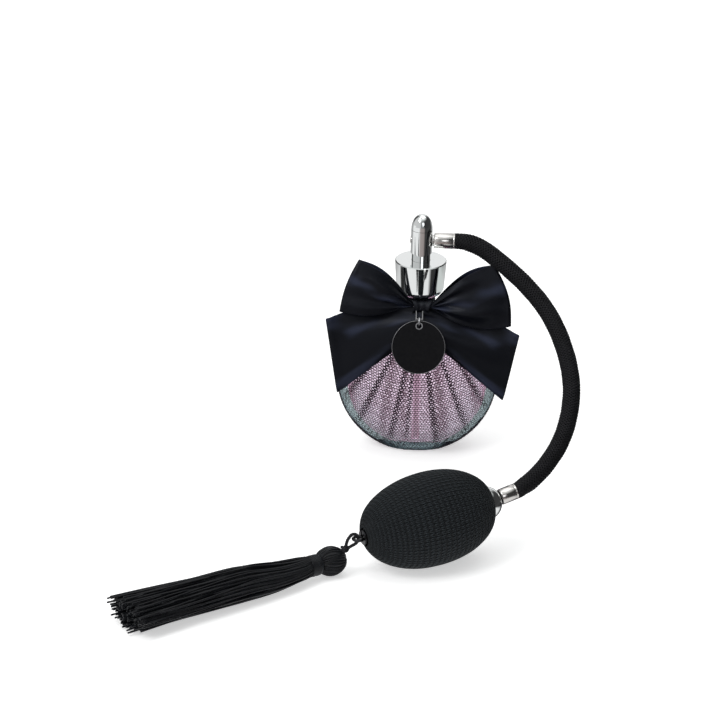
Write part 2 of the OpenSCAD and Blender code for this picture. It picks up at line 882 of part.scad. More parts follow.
glass_bottle();
perfume_fill();
mesh_sock();
sock_elastic();
neck_ribbon();
bow_loop_left();
bow_loop_right();
bow_tail_left();
bow_tail_right();
bow_knot();
tag_hanger();
tag_disc();
tag_eyelet();
tag_ring();
neck_gasket();
sprayer_plug();
dip_tube();
collar_shell();
collar_liner();
head_body();
head_finial();
nozzle_insert();
hose_nipple();
head_ferrule();
hose_braid();
hose_core();
bulb_ferrule();
bulb_nipple();
dome_cup();
outlet_valve_body();
outlet_valve_ball();
rubber_bulb();
bulb_cover();
inlet_valve_body();
inlet_valve_ball();
tassel_loop();
tassel_knot();
tassel_head();
tassel_wrap();
tassel_skirt();
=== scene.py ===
"""Perfume bottle with a bulb sprayer: net sock, satin bow, chrome head, braided hose and tassel."""

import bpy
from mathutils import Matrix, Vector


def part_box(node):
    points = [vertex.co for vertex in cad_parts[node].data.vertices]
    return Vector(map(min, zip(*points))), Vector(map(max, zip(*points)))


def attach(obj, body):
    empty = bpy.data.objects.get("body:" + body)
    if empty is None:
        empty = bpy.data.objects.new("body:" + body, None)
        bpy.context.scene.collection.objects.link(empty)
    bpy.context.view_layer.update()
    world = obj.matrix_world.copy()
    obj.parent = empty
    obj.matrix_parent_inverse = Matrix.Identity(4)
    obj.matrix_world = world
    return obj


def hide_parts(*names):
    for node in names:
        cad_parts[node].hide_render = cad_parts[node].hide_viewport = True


bl_info = {
    "name": "Bulb Sprayer Perfume Bottle",
    "version": (1, 0, 0),
    "blender": (4, 5, 0),
    "location": "View3D > Sidebar > Bottle",
    "description": "Dresses the packed bottle with its cloth, cords, threads and finishes",
    "category": "Object",
}

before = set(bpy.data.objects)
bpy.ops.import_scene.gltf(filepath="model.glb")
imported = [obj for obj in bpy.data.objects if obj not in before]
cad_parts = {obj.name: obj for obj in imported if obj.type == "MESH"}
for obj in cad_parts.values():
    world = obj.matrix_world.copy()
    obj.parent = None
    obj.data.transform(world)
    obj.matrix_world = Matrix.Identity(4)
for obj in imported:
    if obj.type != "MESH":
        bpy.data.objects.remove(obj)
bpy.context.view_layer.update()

import math
import random

import bmesh
import bpy
from bpy.props import FloatProperty, FloatVectorProperty, IntProperty, PointerProperty
from mathutils import Matrix, Vector, noise

MM = 0.001

TINY = 1e-6

# Sizes of the flask, its neck and its sock, in millimetres
FLASK = [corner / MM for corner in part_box("glass_bottle")]
BODY_R = FLASK[1].x
BODY_HALF = FLASK[1].y
RIM_R = 12.0
FOOT_CUT = 2.8
BODY_Z = BODY_R - FOOT_CUT
NECK_R = 5.7
NECK_FOOT = 73.8
ROOT_DROP = 6.6
ROOT_FLARE = 3.0
ROOT_Z = 66.0
SOCK_NECK_R = 6.05
CUFF_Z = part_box("mesh_sock")[1].z / MM - 0.15
TIE_Z = 73.6


def along(plan, tilt):
    """Unit vector at a plan angle and a tilt above level, in degrees."""
    p, t = math.radians(plan), math.radians(tilt)
    return Vector((math.cos(t) * math.cos(p), math.cos(t) * math.sin(p), math.sin(t)))


def turned_to(place, plan, tip):
    """The matrix that stands a local Z axis over by tip and turns it to plan, in degrees."""
    return (Matrix.Translation(place) @ Matrix.Rotation(math.radians(plan), 4, "Z")
            @ Matrix.Rotation(math.radians(tip), 4, "Y"))


# Where the bulb, the ends of the hose, the tag and the tassel lie, in millimetres
BULB_PLACE = Vector((6.4, -133.8, 22.1))
BULB_PLAN = 26.0
BULB_TILT = 6.0
NIPPLE_TILT = 13.0
DOME_PLACE = BULB_PLACE + 28.2 * along(BULB_PLAN, BULB_TILT)
AT_BULB = turned_to(BULB_PLACE, BULB_PLAN, 90 - BULB_TILT)
AT_NIPPLE = turned_to(DOME_PLACE, BULB_PLAN, 90 - NIPPLE_TILT)
AT_HEAD_FERRULE = turned_to(Vector((5.95, 0, 104.8)), 0, 90)
EYE_PLACE = BULB_PLACE - 36.0 * along(BULB_PLAN, BULB_TILT)
TASSEL_PLACE = Vector((-37.9, -149.8, 7.0))
AT_TASSEL = turned_to(TASSEL_PLACE, 35, -90)
AT_TAG = (Matrix.Translation((0, -17.4, 71.6)) @ Matrix.Rotation(math.radians(66), 4, "X")
          @ Matrix.Translation((0, -13.15, 0)))

# Middle of the view, in metres
VIEW_MIDDLE = Vector((-0.0273, -0.050, 0.0638))

# Middle line of the hose in metres, between its straight ends at the two ferrules
HOSE_ROUTE = [
    (0.021, -0.0004, 0.1046), (0.026, -0.002, 0.1036), (0.0315, -0.005, 0.1015),
    (0.037, -0.009, 0.0987), (0.0425, -0.0135, 0.0957), (0.048, -0.0184, 0.0924),
    (0.053, -0.0236, 0.0889), (0.0575, -0.029, 0.0852), (0.0613, -0.0348, 0.0812),
    (0.0645, -0.041, 0.077), (0.067, -0.0472, 0.0728), (0.069, -0.0535, 0.0684),
    (0.0703, -0.06, 0.064), (0.0709, -0.0665, 0.0596), (0.0706, -0.073, 0.0552),
    (0.0696, -0.0795, 0.0508), (0.0678, -0.086, 0.0464), (0.065, -0.0925, 0.042),
    (0.0613, -0.0986, 0.038), (0.057, -0.1044, 0.0344), (0.0525, -0.1093, 0.0316),
    (0.049, -0.1123, 0.03)]
HOSE_START = Vector((15.75, 0, 104.8))
HOSE_END = DOME_PLACE + 15.8 * along(BULB_PLAN, NIPPLE_TILT)


# ---- sizes and colours that a user may change --------------------

class BottleSettings(bpy.types.PropertyGroup):
    """Glass, perfume and net."""
    perfume_colour: FloatVectorProperty(
        name="Perfume colour", description="Tint of the perfume", subtype="COLOR",
        default=(0.97, 0.84, 0.91), min=0, max=1)
    mesh_width: FloatProperty(
        name="Mesh width", description="Width of one mesh of the net", default=0.00145,
        min=0.0008, max=0.004, unit="LENGTH")
    mesh_height: FloatProperty(
        name="Mesh height", description="Height of one mesh of the net", default=0.00115,
        min=0.0006, max=0.004, unit="LENGTH")
    pleat_height: FloatProperty(
        name="Pleat height", description="How far a pleat of the net stands up", default=0.0011,
        min=0.0, max=0.003, unit="LENGTH")


class BowSettings(bpy.types.PropertyGroup):
    """Satin bow and its ribbon."""
    satin_colour: FloatVectorProperty(
        name="Satin colour", description="Colour of the satin ribbon", subtype="COLOR",
        default=(0.0045, 0.0055, 0.010), min=0, max=1)
    ribbon_thickness: FloatProperty(
        name="Ribbon thickness", description="Thickness of the ribbon's cloth", default=0.0003,
        min=0.0001, max=0.001, unit="LENGTH")


class HoseSettings(bpy.types.PropertyGroup):
    """Braided hose and knitted bulb."""
    braid_strands: IntProperty(
        name="Braid strands", description="Strands that wind each way round the hose", default=12,
        min=6, max=20)
    braid_pitch: FloatProperty(
        name="Braid pitch", description="Length of hose in one turn of a strand", default=0.018,
        min=0.008, max=0.04, unit="LENGTH")
    knit_ribs: IntProperty(
        name="Knit ribs", description="Stitches round the bulb's cover", default=66, min=30,
        max=160)
    knit_colour: FloatVectorProperty(
        name="Knit colour", description="Colour of the knitted cover", subtype="COLOR",
        default=(0.010, 0.012, 0.014), min=0, max=1)


class TasselSettings(bpy.types.PropertyGroup):
    """Tassel."""
    skirt_threads: IntProperty(
        name="Skirt threads", description="Threads in the tassel's skirt", default=300, min=60,
        max=500)
    thread_colour: FloatVectorProperty(
        name="Thread colour", description="Colour of the tassel's threads", subtype="COLOR",
        default=(0.004, 0.0045, 0.006), min=0, max=1)


class StudioSettings(bpy.types.PropertyGroup):
    """Camera and light."""
    camera_height: FloatProperty(
        name="Camera height", description="Angle at which the camera looks down",
        default=math.radians(23), min=0, max=1.5, unit="ROTATION")
    camera_roll: FloatProperty(
        name="Camera roll", description="Turn of the camera about its own line of sight",
        default=math.radians(1.7), min=-0.5, max=0.5, unit="ROTATION")
    camera_distance: FloatProperty(
        name="Camera distance", description="Distance from the camera to the bottle", default=2.5,
        min=0.5, max=10, unit="LENGTH")
    field_width: FloatProperty(
        name="Field width", description="Width of the view at the bottle", default=0.3349,
        min=0.1, max=1, unit="LENGTH")


# ---- finishes ----------------------------------------------------

class Level:
    """A shader value that takes part in Python sums."""

    def __init__(self, shader, socket):
        self.shader = shader
        self.socket = socket

    def maths(self, operation, *others):
        values = {i: v for i, v in enumerate((self,) + others)}
        return self.shader.node("ShaderNodeMath", {"operation": operation}, values)

    def __add__(self, other):
        return self.maths("ADD", other)

    __radd__ = __add__

    def __mul__(self, other):
        return self.maths("MULTIPLY", other)

    __rmul__ = __mul__

    def __sub__(self, other):
        return self.maths("SUBTRACT", other)

    def __rsub__(self, other):
        return (self * -1.0) + other

    def __truediv__(self, other):
        return self.maths("DIVIDE", other)

    def __rtruediv__(self, other):
        return self.maths("POWER", -1.0) * other

    def __pow__(self, other):
        return self.maths("POWER", other)

    def __mod__(self, other):
        return self.maths("FLOORED_MODULO", other)

    def __abs__(self):
        return self.maths("ABSOLUTE")

    def out(self, name):
        """Another output of the node that this value comes from."""
        return Level(self.shader, self.socket.node.outputs[name])

    def held(self, low=0.0, high=1.0):
        return self.maths("MAXIMUM", low).maths("MINIMUM", high)

    def step(self, low, high):
        """0 below low, 1 above high, smooth between."""
        return self.shader.node("ShaderNodeMapRange", {"interpolation_type": "SMOOTHSTEP"},
                                {"Value": self, "From Min": low, "From Max": high})


class Shader:
    """The nodes of a finish or of the light round the bottle."""

    def __init__(self, tree):
        self.nodes = tree.nodes
        self.links = tree.links

    def put(self, socket, value):
        if isinstance(value, Level):
            self.links.new(value.socket, socket)
        elif isinstance(value, bpy.types.NodeSocket):
            self.links.new(value, socket)
        else:
            socket.default_value = value

    def node(self, kind, settings, sockets):
        """A node of this kind, with its settings and the values or links of its sockets."""
        made = self.nodes.new(kind)
        for key, value in settings.items():
            if key == "stops":
                ramp = made.color_ramp
                while len(ramp.elements) < len(value):
                    ramp.elements.new(0.5)
                for element, (at, colour) in zip(ramp.elements, value):
                    element.position = at
                    element.color = (*(colour if isinstance(colour, tuple) else [colour] * 3), 1)
            else:
                setattr(made, key, value)
        for key, value in sockets.items():
            self.put(made.inputs[key], value)
        return Level(self, made.outputs[0])

    def where(self, kind="Object"):
        return self.node("ShaderNodeTexCoord", {}, {}).out(kind)

    def stretched(self, scale, kind="Object"):
        return self.node("ShaderNodeMapping", {}, {"Vector": self.where(kind), "Scale": scale})

    def parts(self, vector):
        split = self.node("ShaderNodeSeparateXYZ", {}, {"Vector": vector})
        return split, split.out("Y"), split.out("Z")

    def speckle(self, scale, detail=3.0, where=None):
        """Cloudy noise from 0 to 1 on the piece."""
        return self.node("ShaderNodeTexNoise", {}, {
            "Vector": where or self.where(), "Scale": scale, "Detail": detail})

    def ramp(self, value, stops):
        """Colours along a value from 0 to 1: each stop has its place and a colour or a grey."""
        return self.node("ShaderNodeValToRGB", {"stops": stops}, {0: value})

    def round_about(self, x, y):
        """The angle round the bottle as a share of a turn, from behind over its left."""
        return x.maths("ARCTAN2", y * -1.0) / math.tau + 0.5

    def mixed(self, amount, first, second):
        mix = self.node("ShaderNodeMix", {"data_type": "RGBA"}, {0: amount, 6: first, 7: second})
        return Level(self, mix.socket.node.outputs[2])


class Finish(Shader):
    """A procedural material: uniform values on the surface, and sums for what varies."""

    def __init__(self, name, uniform):
        self.material = bpy.data.materials.new(name)
        self.material.use_nodes = True
        super().__init__(self.material.node_tree)
        self.surface = self.nodes["Principled BSDF"]
        for socket, value in uniform.items():
            self.surface.inputs[socket].default_value = value

    def tint(self, colour, density):
        """Colours the light that goes through the piece."""
        murk = self.node("ShaderNodeVolumeAbsorption", {}, {"Color": colour, "Density": density})
        self.put(self.nodes["Material Output"].inputs["Volume"], murk)

    def colour(self, value):
        self.put(self.surface.inputs["Base Color"], value)

    def rough(self, value):
        self.put(self.surface.inputs["Roughness"], value)

    def relief(self, height, distance, strength=1.0):
        self.put(self.surface.inputs["Normal"], self.node("ShaderNodeBump", {}, {
            "Height": height, "Distance": distance, "Strength": strength}))


def shade(colour, by):
    """The colour made lighter or darker, as four numbers."""
    return (*[min(1.0, part * by) for part in colour], 1)


def chrome():
    finish = Finish("polished_chrome", {"Metallic": 1.0, "Base Color": (0.86, 0.88, 0.88, 1)})
    smear = finish.speckle(90, 4)
    finish.rough(0.02 + smear * 0.05)
    finish.relief(finish.speckle(900, 2), 0.00001, 0.12)
    return finish.material


def ferrule_metal():
    finish = Finish("satin_nickel", {"Metallic": 1.0})
    grain = finish.speckle(420, 4, finish.stretched((0.15, 3, 3)))
    finish.colour(finish.mixed(grain, (0.78, 0.76, 0.74, 1), (0.66, 0.64, 0.62, 1)))
    finish.rough(0.16 + grain * 0.08)
    finish.relief(grain, 0.00001, 0.2)
    return finish.material


def steel(name="nozzle_steel"):
    finish = Finish(name, {"Metallic": 1.0, "Base Color": (0.62, 0.61, 0.60, 1)})
    grain = finish.speckle(1500, 3)
    finish.rough(0.16 + grain * 0.14)
    finish.relief(grain, 0.00001, 0.3)
    return finish.material


def brass(name, colour):
    finish = Finish(name, {"Metallic": 1.0})
    patch = finish.speckle(260, 4)
    finish.colour(finish.mixed(patch, shade(colour, 1), shade(colour, 0.72)))
    finish.rough(0.20 + patch * 0.22)
    finish.relief(finish.speckle(1800, 2), 0.00002, 0.3)
    return finish.material


def glass():
    finish = Finish("clear_flask_glass", {
        "Base Color": (0.93, 0.985, 0.98, 1), "Transmission Weight": 1.0, "IOR": 1.5})
    finish.rough(finish.speckle(60, 3) * 0.012)
    finish.relief(finish.speckle(28, 2), 0.00012, 0.25)
    finish.tint((0.28, 0.46, 0.52, 1), 64.0)
    return finish.material


def perfume(colour):
    # The emission is a painted pink glow, standing in for light that shines through the perfume
    finish = Finish("rose_perfume", {
        "Transmission Weight": 1.0, "IOR": 1.36, "Base Color": (*colour, 1),
        "Emission Color": (1.0, 0.66, 0.82, 1), "Emission Strength": 0.14})
    finish.rough(finish.speckle(40, 2) * 0.02)
    finish.tint((0.90, 0.50, 0.68, 1), 16.0)
    return finish.material


def net():
    """Black knotted net: round meshes in staggered rows, closer where it is pleated."""
    finish = Finish("black_net", {
        "Specular IOR Level": 0.2, "Sheen Weight": 0.03, "Sheen Roughness": 0.4,
        "Sheen Tint": (0.75, 0.70, 0.85, 1)})
    u, v, _ = finish.parts(finish.where("UV"))
    row = v.maths("FLOOR")
    x = (u + (row % 2.0) * 0.5).maths("FRACT") - 0.5
    y = v.maths("FRACT") - 0.5
    fold = finish.node("ShaderNodeAttribute", {"attribute_name": "fold"}, {}).out("Fac")
    size = 0.44 - fold * 0.19
    hole = ((x / size) ** 2.0 + (y / (size * 0.98)) ** 2.0) ** 0.5
    thread = hole.step(0.88, 1.12)
    finish.put(finish.surface.inputs["Alpha"], thread)
    worn = finish.speckle(500, 2)
    finish.colour(finish.mixed(worn, (0.010, 0.006, 0.010, 1), (0.028, 0.018, 0.028, 1)))
    finish.rough(0.42 + worn * 0.2)
    finish.relief(thread, 0.00005, 0.25)
    return finish.material


def satin(colour, name="black_satin"):
    """Satin: a close weave whose long floats throw a soft bluish sheen, with broader highlight
    streaks painted into its colour.
    """
    finish = Finish(name, {
        "Specular IOR Level": 0.24, "Anisotropic": 0.6, "Sheen Weight": 0.02,
        "Specular Tint": (0.84, 0.88, 1.0, 1),
        "Sheen Roughness": 0.35, "Sheen Tint": (0.55, 0.66, 0.95, 1)})
    u, v, _ = finish.parts(finish.where("UV"))
    floats = (u * 6.0).maths("FRACT").maths("PINGPONG", 0.5)
    picks = (v * 6.0).maths("FRACT").maths("PINGPONG", 0.5)
    slub = finish.speckle(1.2, 4, finish.stretched((0.3, 4, 1), "UV"))
    # sheen is a mask of painted highlight: broad soft streaks where the colour is lifted 4.6 times,
    # standing in for the light off the satin
    sheen = finish.speckle(0.06, 2, finish.stretched((0.55, 1.25, 1), "UV")).step(0.48, 0.66)
    dull = finish.mixed(slub, shade(colour, 0.3), shade(colour, 0.6))
    # Colour: the dull satin, lifted to the painted highlight where sheen is high
    finish.colour(finish.mixed(sheen, dull, shade(colour, 4.6)))
    finish.rough(0.33 + slub * 0.12)
    finish.relief(floats * 0.5 + picks * 0.3 + slub * 0.6, 0.00006, 0.45)
    return finish.material


def elastic():
    finish = Finish("covered_elastic", {"Sheen Weight": 0.3, "Sheen Roughness": 0.5})
    fuzz = finish.speckle(900, 4)
    finish.colour(finish.mixed(fuzz, (0.010, 0.010, 0.012, 1), (0.030, 0.030, 0.034, 1)))
    finish.rough(0.7 + fuzz * 0.2)
    finish.relief(fuzz, 0.0001, 0.8)
    return finish.material


def lacquer():
    finish = Finish("black_lacquer", {"Coat Roughness": 0.1, "Specular IOR Level": 0.04})
    dust = finish.speckle(700, 5)
    finish.colour(finish.mixed(dust, (0.004, 0.004, 0.005, 1), (0.010, 0.010, 0.011, 1)))
    finish.rough(0.28 + dust * 0.12)
    finish.put(finish.surface.inputs["Coat Weight"], 0.01 + dust * 0.03)
    finish.relief(finish.speckle(140, 3), 0.00002, 0.25)
    return finish.material


def moulded(name, colour, rough, clear=0.0):
    """Moulded plastic or rubber with a fine grain."""
    finish = Finish(name, {"Transmission Weight": clear, "IOR": 1.49})
    grain = finish.speckle(1600, 3)
    cloud = finish.speckle(120, 2)
    finish.colour(finish.mixed(cloud, shade(colour, 0.9), shade(colour, 1.12)))
    finish.rough(rough + grain * 0.12)
    finish.relief(grain, 0.00003, 0.35)
    return finish.material


def knitting(colour):
    """Plain knitting: each stitch is a V of yarn, in ribs that run along the bulb, painted lit on
    the yarn and shaded between stitches.
    """
    finish = Finish("black_knitting", {
        "Specular IOR Level": 0.2, "Sheen Weight": 0.03, "Sheen Roughness": 0.45,
        "Sheen Tint": (0.70, 0.78, 0.80, 1)})
    u, v, _ = finish.parts(finish.where("UV"))
    across = u.maths("FRACT") - 0.5
    lean = abs(across) * 1.1
    stitch = (v + lean).maths("FRACT") - 0.5
    leg = 1.0 - (abs(across) * 4.0 - 1.0) ** 2.0
    yarn = (1.0 - abs(stitch) * 2.0).held() * leg.held(0.05)
    fuzz = finish.speckle(2600, 3)
    # Painted light and shade: the yarn of each stitch is painted lit, up to 3.8 times the colour,
    # and the gaps between stitches are painted in shade, a tenth of it
    finish.colour(finish.mixed((yarn * 0.9 + fuzz * 0.25).held(), shade(colour, 0.1),
                               shade(colour, 3.8)))
    finish.rough(0.62 + fuzz * 0.2)
    finish.relief(yarn + fuzz * 0.1, 0.0010, 1.0)
    return finish.material


def yarn(name, colour, rough=0.5, sheen=0.3):
    """Twisted thread: fine fibres and slightly uneven dye."""
    finish = Finish(name, {
        "Specular IOR Level": 0.28, "Sheen Weight": sheen, "Sheen Roughness": 0.4,
        "Sheen Tint": (0.72, 0.80, 0.92, 1)})
    dye = finish.speckle(160, 3)
    fibre = finish.speckle(3500, 2)
    finish.colour(finish.mixed(dye, shade(colour, 0.7), shade(colour, 1.9)))
    finish.rough(rough + fibre * 0.2)
    finish.relief(fibre, 0.00004, 0.5)
    return finish.material


def paint_nodes(finish, *nodes):
    """Gives CAD nodes their finish."""
    for node in nodes:
        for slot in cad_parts[node].material_slots:
            slot.material = finish


# ---- ways of making pieces ---------------------------------------

def smooth_path(points, step):
    """Points about a step apart on a smooth curve through the given ones."""
    points = [Vector(p) for p in points]
    ends = [2 * points[0] - points[1]] + points + [2 * points[-1] - points[-2]]
    path = []
    for a, b, c, d in zip(ends, ends[1:], ends[2:], ends[3:]):
        count = max(1, round((c - b).length / step))
        for i in range(count):
            t = i / count
            path.append(0.5 * (2 * b + (c - a) * t + (2 * a - 5 * b + 4 * c - d) * t ** 2
                               + (3 * b - a - 3 * c + d) * t ** 3))
    path.append(points[-1])
    return path


def frames(path):
    """For each point: its distance along the path, the point, and two sideways vectors."""
    side = Vector((0, -0.56, 0.83))  # any direction that no path starts along
    run = 0.0
    rings = []
    for i, point in enumerate(path):
        ahead = path[min(i + 1, len(path) - 1)] - path[max(i - 1, 0)]
        ahead.normalize()
        side = (side - ahead * side.dot(ahead)).normalized()
        if i:
            run += (point - path[i - 1]).length
        rings.append((run, point, side.copy(), ahead.cross(side)))
    return rings


def length_of(path):
    return sum((b - a).length for a, b in zip(path, path[1:]))


def show(name, mesh, finish, body, nodes=()):
    """Puts a finished mesh in the scene as a piece of the bottle."""
    made = bpy.data.objects.new(name, mesh)
    bpy.context.scene.collection.objects.link(made)
    mesh.materials.clear()
    mesh.materials.append(finish)
    mesh.shade_smooth()
    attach(made, body)
    if nodes:
        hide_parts(*nodes)
    return made


def piece(name, bm, finish, body, nodes=(), wall=0.0, rounds=0):
    """A piece from a bmesh in millimetres, with a cloth wall and rounds of subdivision."""
    bmesh.ops.scale(bm, vec=(MM, MM, MM), verts=bm.verts[:])
    mesh = bpy.data.meshes.new(name)
    bm.to_mesh(mesh)
    bm.free()
    made = show(name, mesh, finish, body, nodes)
    if wall:
        modifier = made.modifiers.new("cloth thickness", "SOLIDIFY")
        modifier.thickness = wall
        modifier.offset = 0
    if rounds:
        modifier = made.modifiers.new("softness", "SUBSURF")
        modifier.levels = modifier.render_levels = rounds
    return made


def threads(name, paths, radius, finish, body, nodes=(), sides=0, closed=False):
    """Threads of round section along the paths, in millimetres, as one mesh."""
    curve = bpy.data.curves.new(name, "CURVE")
    curve.dimensions = "3D"
    curve.bevel_depth = radius * MM
    curve.bevel_resolution = sides
    curve.use_fill_caps = True
    for path in paths:
        spline = curve.splines.new("POLY")
        spline.points.add(len(path) - 1)
        for point, place in zip(spline.points, path):
            point.co = (*(Vector(place) * MM), 1)
        spline.use_cyclic_u = closed
    drawn = bpy.data.objects.new(name + "_line", curve)
    bpy.context.scene.collection.objects.link(drawn)
    mesh = bpy.data.meshes.new_from_object(
        drawn.evaluated_get(bpy.context.evaluated_depsgraph_get()))
    bpy.data.objects.remove(drawn)
    bpy.data.curves.remove(curve)
    return show(name, mesh, finish, body, nodes)


def woven(columns, rows, place, weave):
    """A grid of cloth: place turns (u, v), from 0 to 1, into a point; weave is its UV size."""
    bm = bmesh.new()
    bmesh.ops.create_grid(bm, x_segments=columns, y_segments=rows, size=0.5)
    half = max(vert.co.x for vert in bm.verts)
    for vert in bm.verts:
        vert.co = (vert.co.x / (2 * half) + 0.5, vert.co.y / (2 * half) + 0.5, 0)
    uv = bm.loops.layers.uv.new("weave")
    for face in bm.faces:
        for loop in face.loops:
            loop[uv].uv = (loop.vert.co.x * weave[0], loop.vert.co.y * weave[1])
    for vert in bm.verts:
        vert.co = place(vert.co.x, vert.co.y)
    return bm


def joined(bm, reach=0.0):
    """The cloth with its edges joined where they meet, and its faces turned outwards."""
    if reach:
        bmesh.ops.remove_doubles(bm, verts=bm.verts[:], dist=reach)
    bmesh.ops.recalc_face_normals(bm, faces=bm.faces[:])
    return bm


def turned(profile, place, steps=96):
    """A turned piece: an outline of (radius, height) spun round, and put in place."""
    bm = bmesh.new()
    verts = [bm.verts.new((r, 0, z)) for r, z in profile]
    edges = [bm.edges.new(pair) for pair in zip(verts, verts[1:])]
    bmesh.ops.spin(bm, geom=verts + edges, cent=(0, 0, 0), axis=(0, 0, 1), angle=math.tau,
                   steps=steps, use_merge=True, use_duplicate=False)
    bmesh.ops.transform(joined(bm, 0.0005), matrix=place, verts=bm.verts[:])
    return bm


def blend_to(t, low, high):
    """0 below low, 1 above high, smooth between."""
    t = min(1.0, max(0.0, (t - low) / (high - low)))
    return t * t * (3 - 2 * t)


# ---- the flask's skin --------------------------------------------

FACE_R = ((BODY_R - RIM_R) ** 2 + BODY_HALF ** 2 - RIM_R ** 2) / (2 * (BODY_HALF - RIM_R))
TURN = math.asin((BODY_R - RIM_R) / (FACE_R - RIM_R))
FACE_EDGE = FACE_R * math.sin(TURN)
FACE_RUN = FACE_R * TURN
SKIN_RUN = FACE_RUN + RIM_R * (math.pi / 2 - TURN)

# How the net leaves the neck: its cuff's share of v, where the fan below it starts, how the
# pleats spread at the back, and how far the fan's UVs lie from the cuff's, in millimetres
CUFF_SHARE = 0.06
FAN_START = 0.10
BACK_FAN = 0.93
UV_ACROSS, UV_DOWN = 300, 100

# The net's pleats: place and width in the fan, in degrees, and height as a share of the highest
PLEATS = [(-62, 3.0, 0.9), (-46, 2.6, 0.9), (-33, 2.0, 0.9), (-23, 2.2, 1.0), (-9, 1.9, 0.95),
          (-3.4, 1.2, 0.8), (8.4, 2.0, 1.0), (21, 2.0, 0.9), (32, 1.8, 0.8), (47, 2.6, 0.9),
          (60, 3.2, 0.8)]


def skin_at(run):
    """Radius and depth of the flask's skin at a distance from the middle of its face."""
    if run < FACE_RUN:
        turn = run / FACE_R
        return FACE_R * math.sin(turn), FACE_R * math.cos(turn) - FACE_R + BODY_HALF
    turn = TURN + (run - FACE_RUN) / RIM_R
    return BODY_R - RIM_R + RIM_R * math.sin(turn), RIM_R * math.cos(turn)


def clear_of_flask(point, gap):
    """The point, moved out if it lies nearer than gap to the flask, its neck root or its neck."""
    x, y, z = point
    radius = math.hypot(x, z - BODY_Z)
    edge = BODY_R - RIM_R
    if radius > edge + TINY or abs(y) < TINY:
        rim = math.hypot(radius - edge, y)
        inside = radius >= FACE_EDGE - TINY or rim < RIM_R
        if inside and TINY < rim < RIM_R + gap:
            grow = (RIM_R + gap) / rim
            wide, y = edge + (radius - edge) * grow, y * grow
            x, z = x * wide / radius, BODY_Z + (z - BODY_Z) * wide / radius
    if radius < FACE_EDGE:
        face = math.sqrt(FACE_R ** 2 - radius ** 2) - FACE_R + BODY_HALF + gap
        if abs(y) < face:
            y = math.copysign(face, y or -1)
    if z > ROOT_Z:
        root = NECK_R + ROOT_FLARE * min(1.0, max(0.0, (NECK_FOOT - z) / ROOT_DROP)) + gap
        across = math.hypot(x, y)
        if TINY < across < root:
            x, y = x * root / across, y * root / across
    return Vector((x, y, z))


def pleat_at(angle, run):
    """How raised the net is at a fan angle, in degrees, at a share of the way to the rim."""
    best = 0.0
    for centre, width, height in PLEATS:
        off = (angle - centre) / (width * (0.65 + 0.25 / max(run, 0.18)))
        shape = blend_to(off, -1.0, -0.72) * (1 - blend_to(off, -0.2, 1.0))
        best = max(best, shape * height)
    return best * blend_to(run, 0.10, 0.24) * (1 - blend_to(run, 0.72, 0.96))


def fan_at(u):
    """The angle, in radians from straight down, at which the net leaves the neck at u."""
    turn = u * math.tau
    return (turn if u <= 0.5 else math.tau - turn) - math.pi / 2


def run_at(v):
    """The share of its way down the flask that the net has come at v."""
    return FAN_START + (1 - FAN_START) * (v - CUFF_SHARE) / (1 - CUFF_SHARE)


def net_place(u, v, middle):
    """Where a point of the net lies in the flat piece between its two nearest pleats."""
    if v < CUFF_SHARE:
        return 6 * u * math.tau, v * 60
    fan, heart = math.degrees(fan_at(u)), math.degrees(fan_at(middle))
    lines = [-100.0] + [centre for centre, _, _ in PLEATS] + [100.0]
    left = max(line for line in lines if line <= heart)
    right = min(line for line in lines if line > heart)
    reach = 2 * run_at(v) * SKIN_RUN * math.cos(math.radians(fan))
    off = math.radians(fan - (left + right) / 2)
    return UV_ACROSS + reach * math.sin(off), UV_DOWN + reach * math.cos(off)


def sock_point(u, v, lift):
    """A point of the net, and how far a pleat raises it: 0 for not at all, 1 for lift.

    u goes once round the neck from the left over the front, and v from the neck to the rim.
    """
    turn, fan = u * math.tau, fan_at(u)
    side, spread = (-1, 1) if u <= 0.5 else (1, BACK_FAN)
    tied = Vector((-SOCK_NECK_R * math.cos(turn), -SOCK_NECK_R * math.sin(turn), TIE_Z))
    if v < CUFF_SHARE:
        frill = 1 + 0.10 * math.sin(turn * 24) * blend_to(v, CUFF_SHARE / 2, CUFF_SHARE) / 6
        z = CUFF_Z - (CUFF_Z - TIE_Z) * v / CUFF_SHARE
        return Vector((tied.x * frill, tied.y * frill, z)), 0.4
    run = run_at(v)
    flat_x = run * SKIN_RUN * math.sin(2 * fan)
    flat_z = SKIN_RUN - 2 * run * SKIN_RUN * math.cos(fan) ** 2
    reach = math.hypot(flat_x, flat_z)
    radius, depth = skin_at(min(reach, SKIN_RUN))
    share = radius / reach if reach > TINY else 0.0
    body = Vector((flat_x * share, side * depth, BODY_Z + flat_z * share))
    near = 1 - blend_to(run, FAN_START, 0.34)
    fold = pleat_at(math.degrees(fan) * spread, run)
    point = clear_of_flask(body.lerp(tied, near ** 1.5), 0.22 + lift * fold)
    if point.z < 0.35:
        point.z = 0.2  # just clear of the table
    return point, fold


# ---- operators: stage and cords first ----------------------------

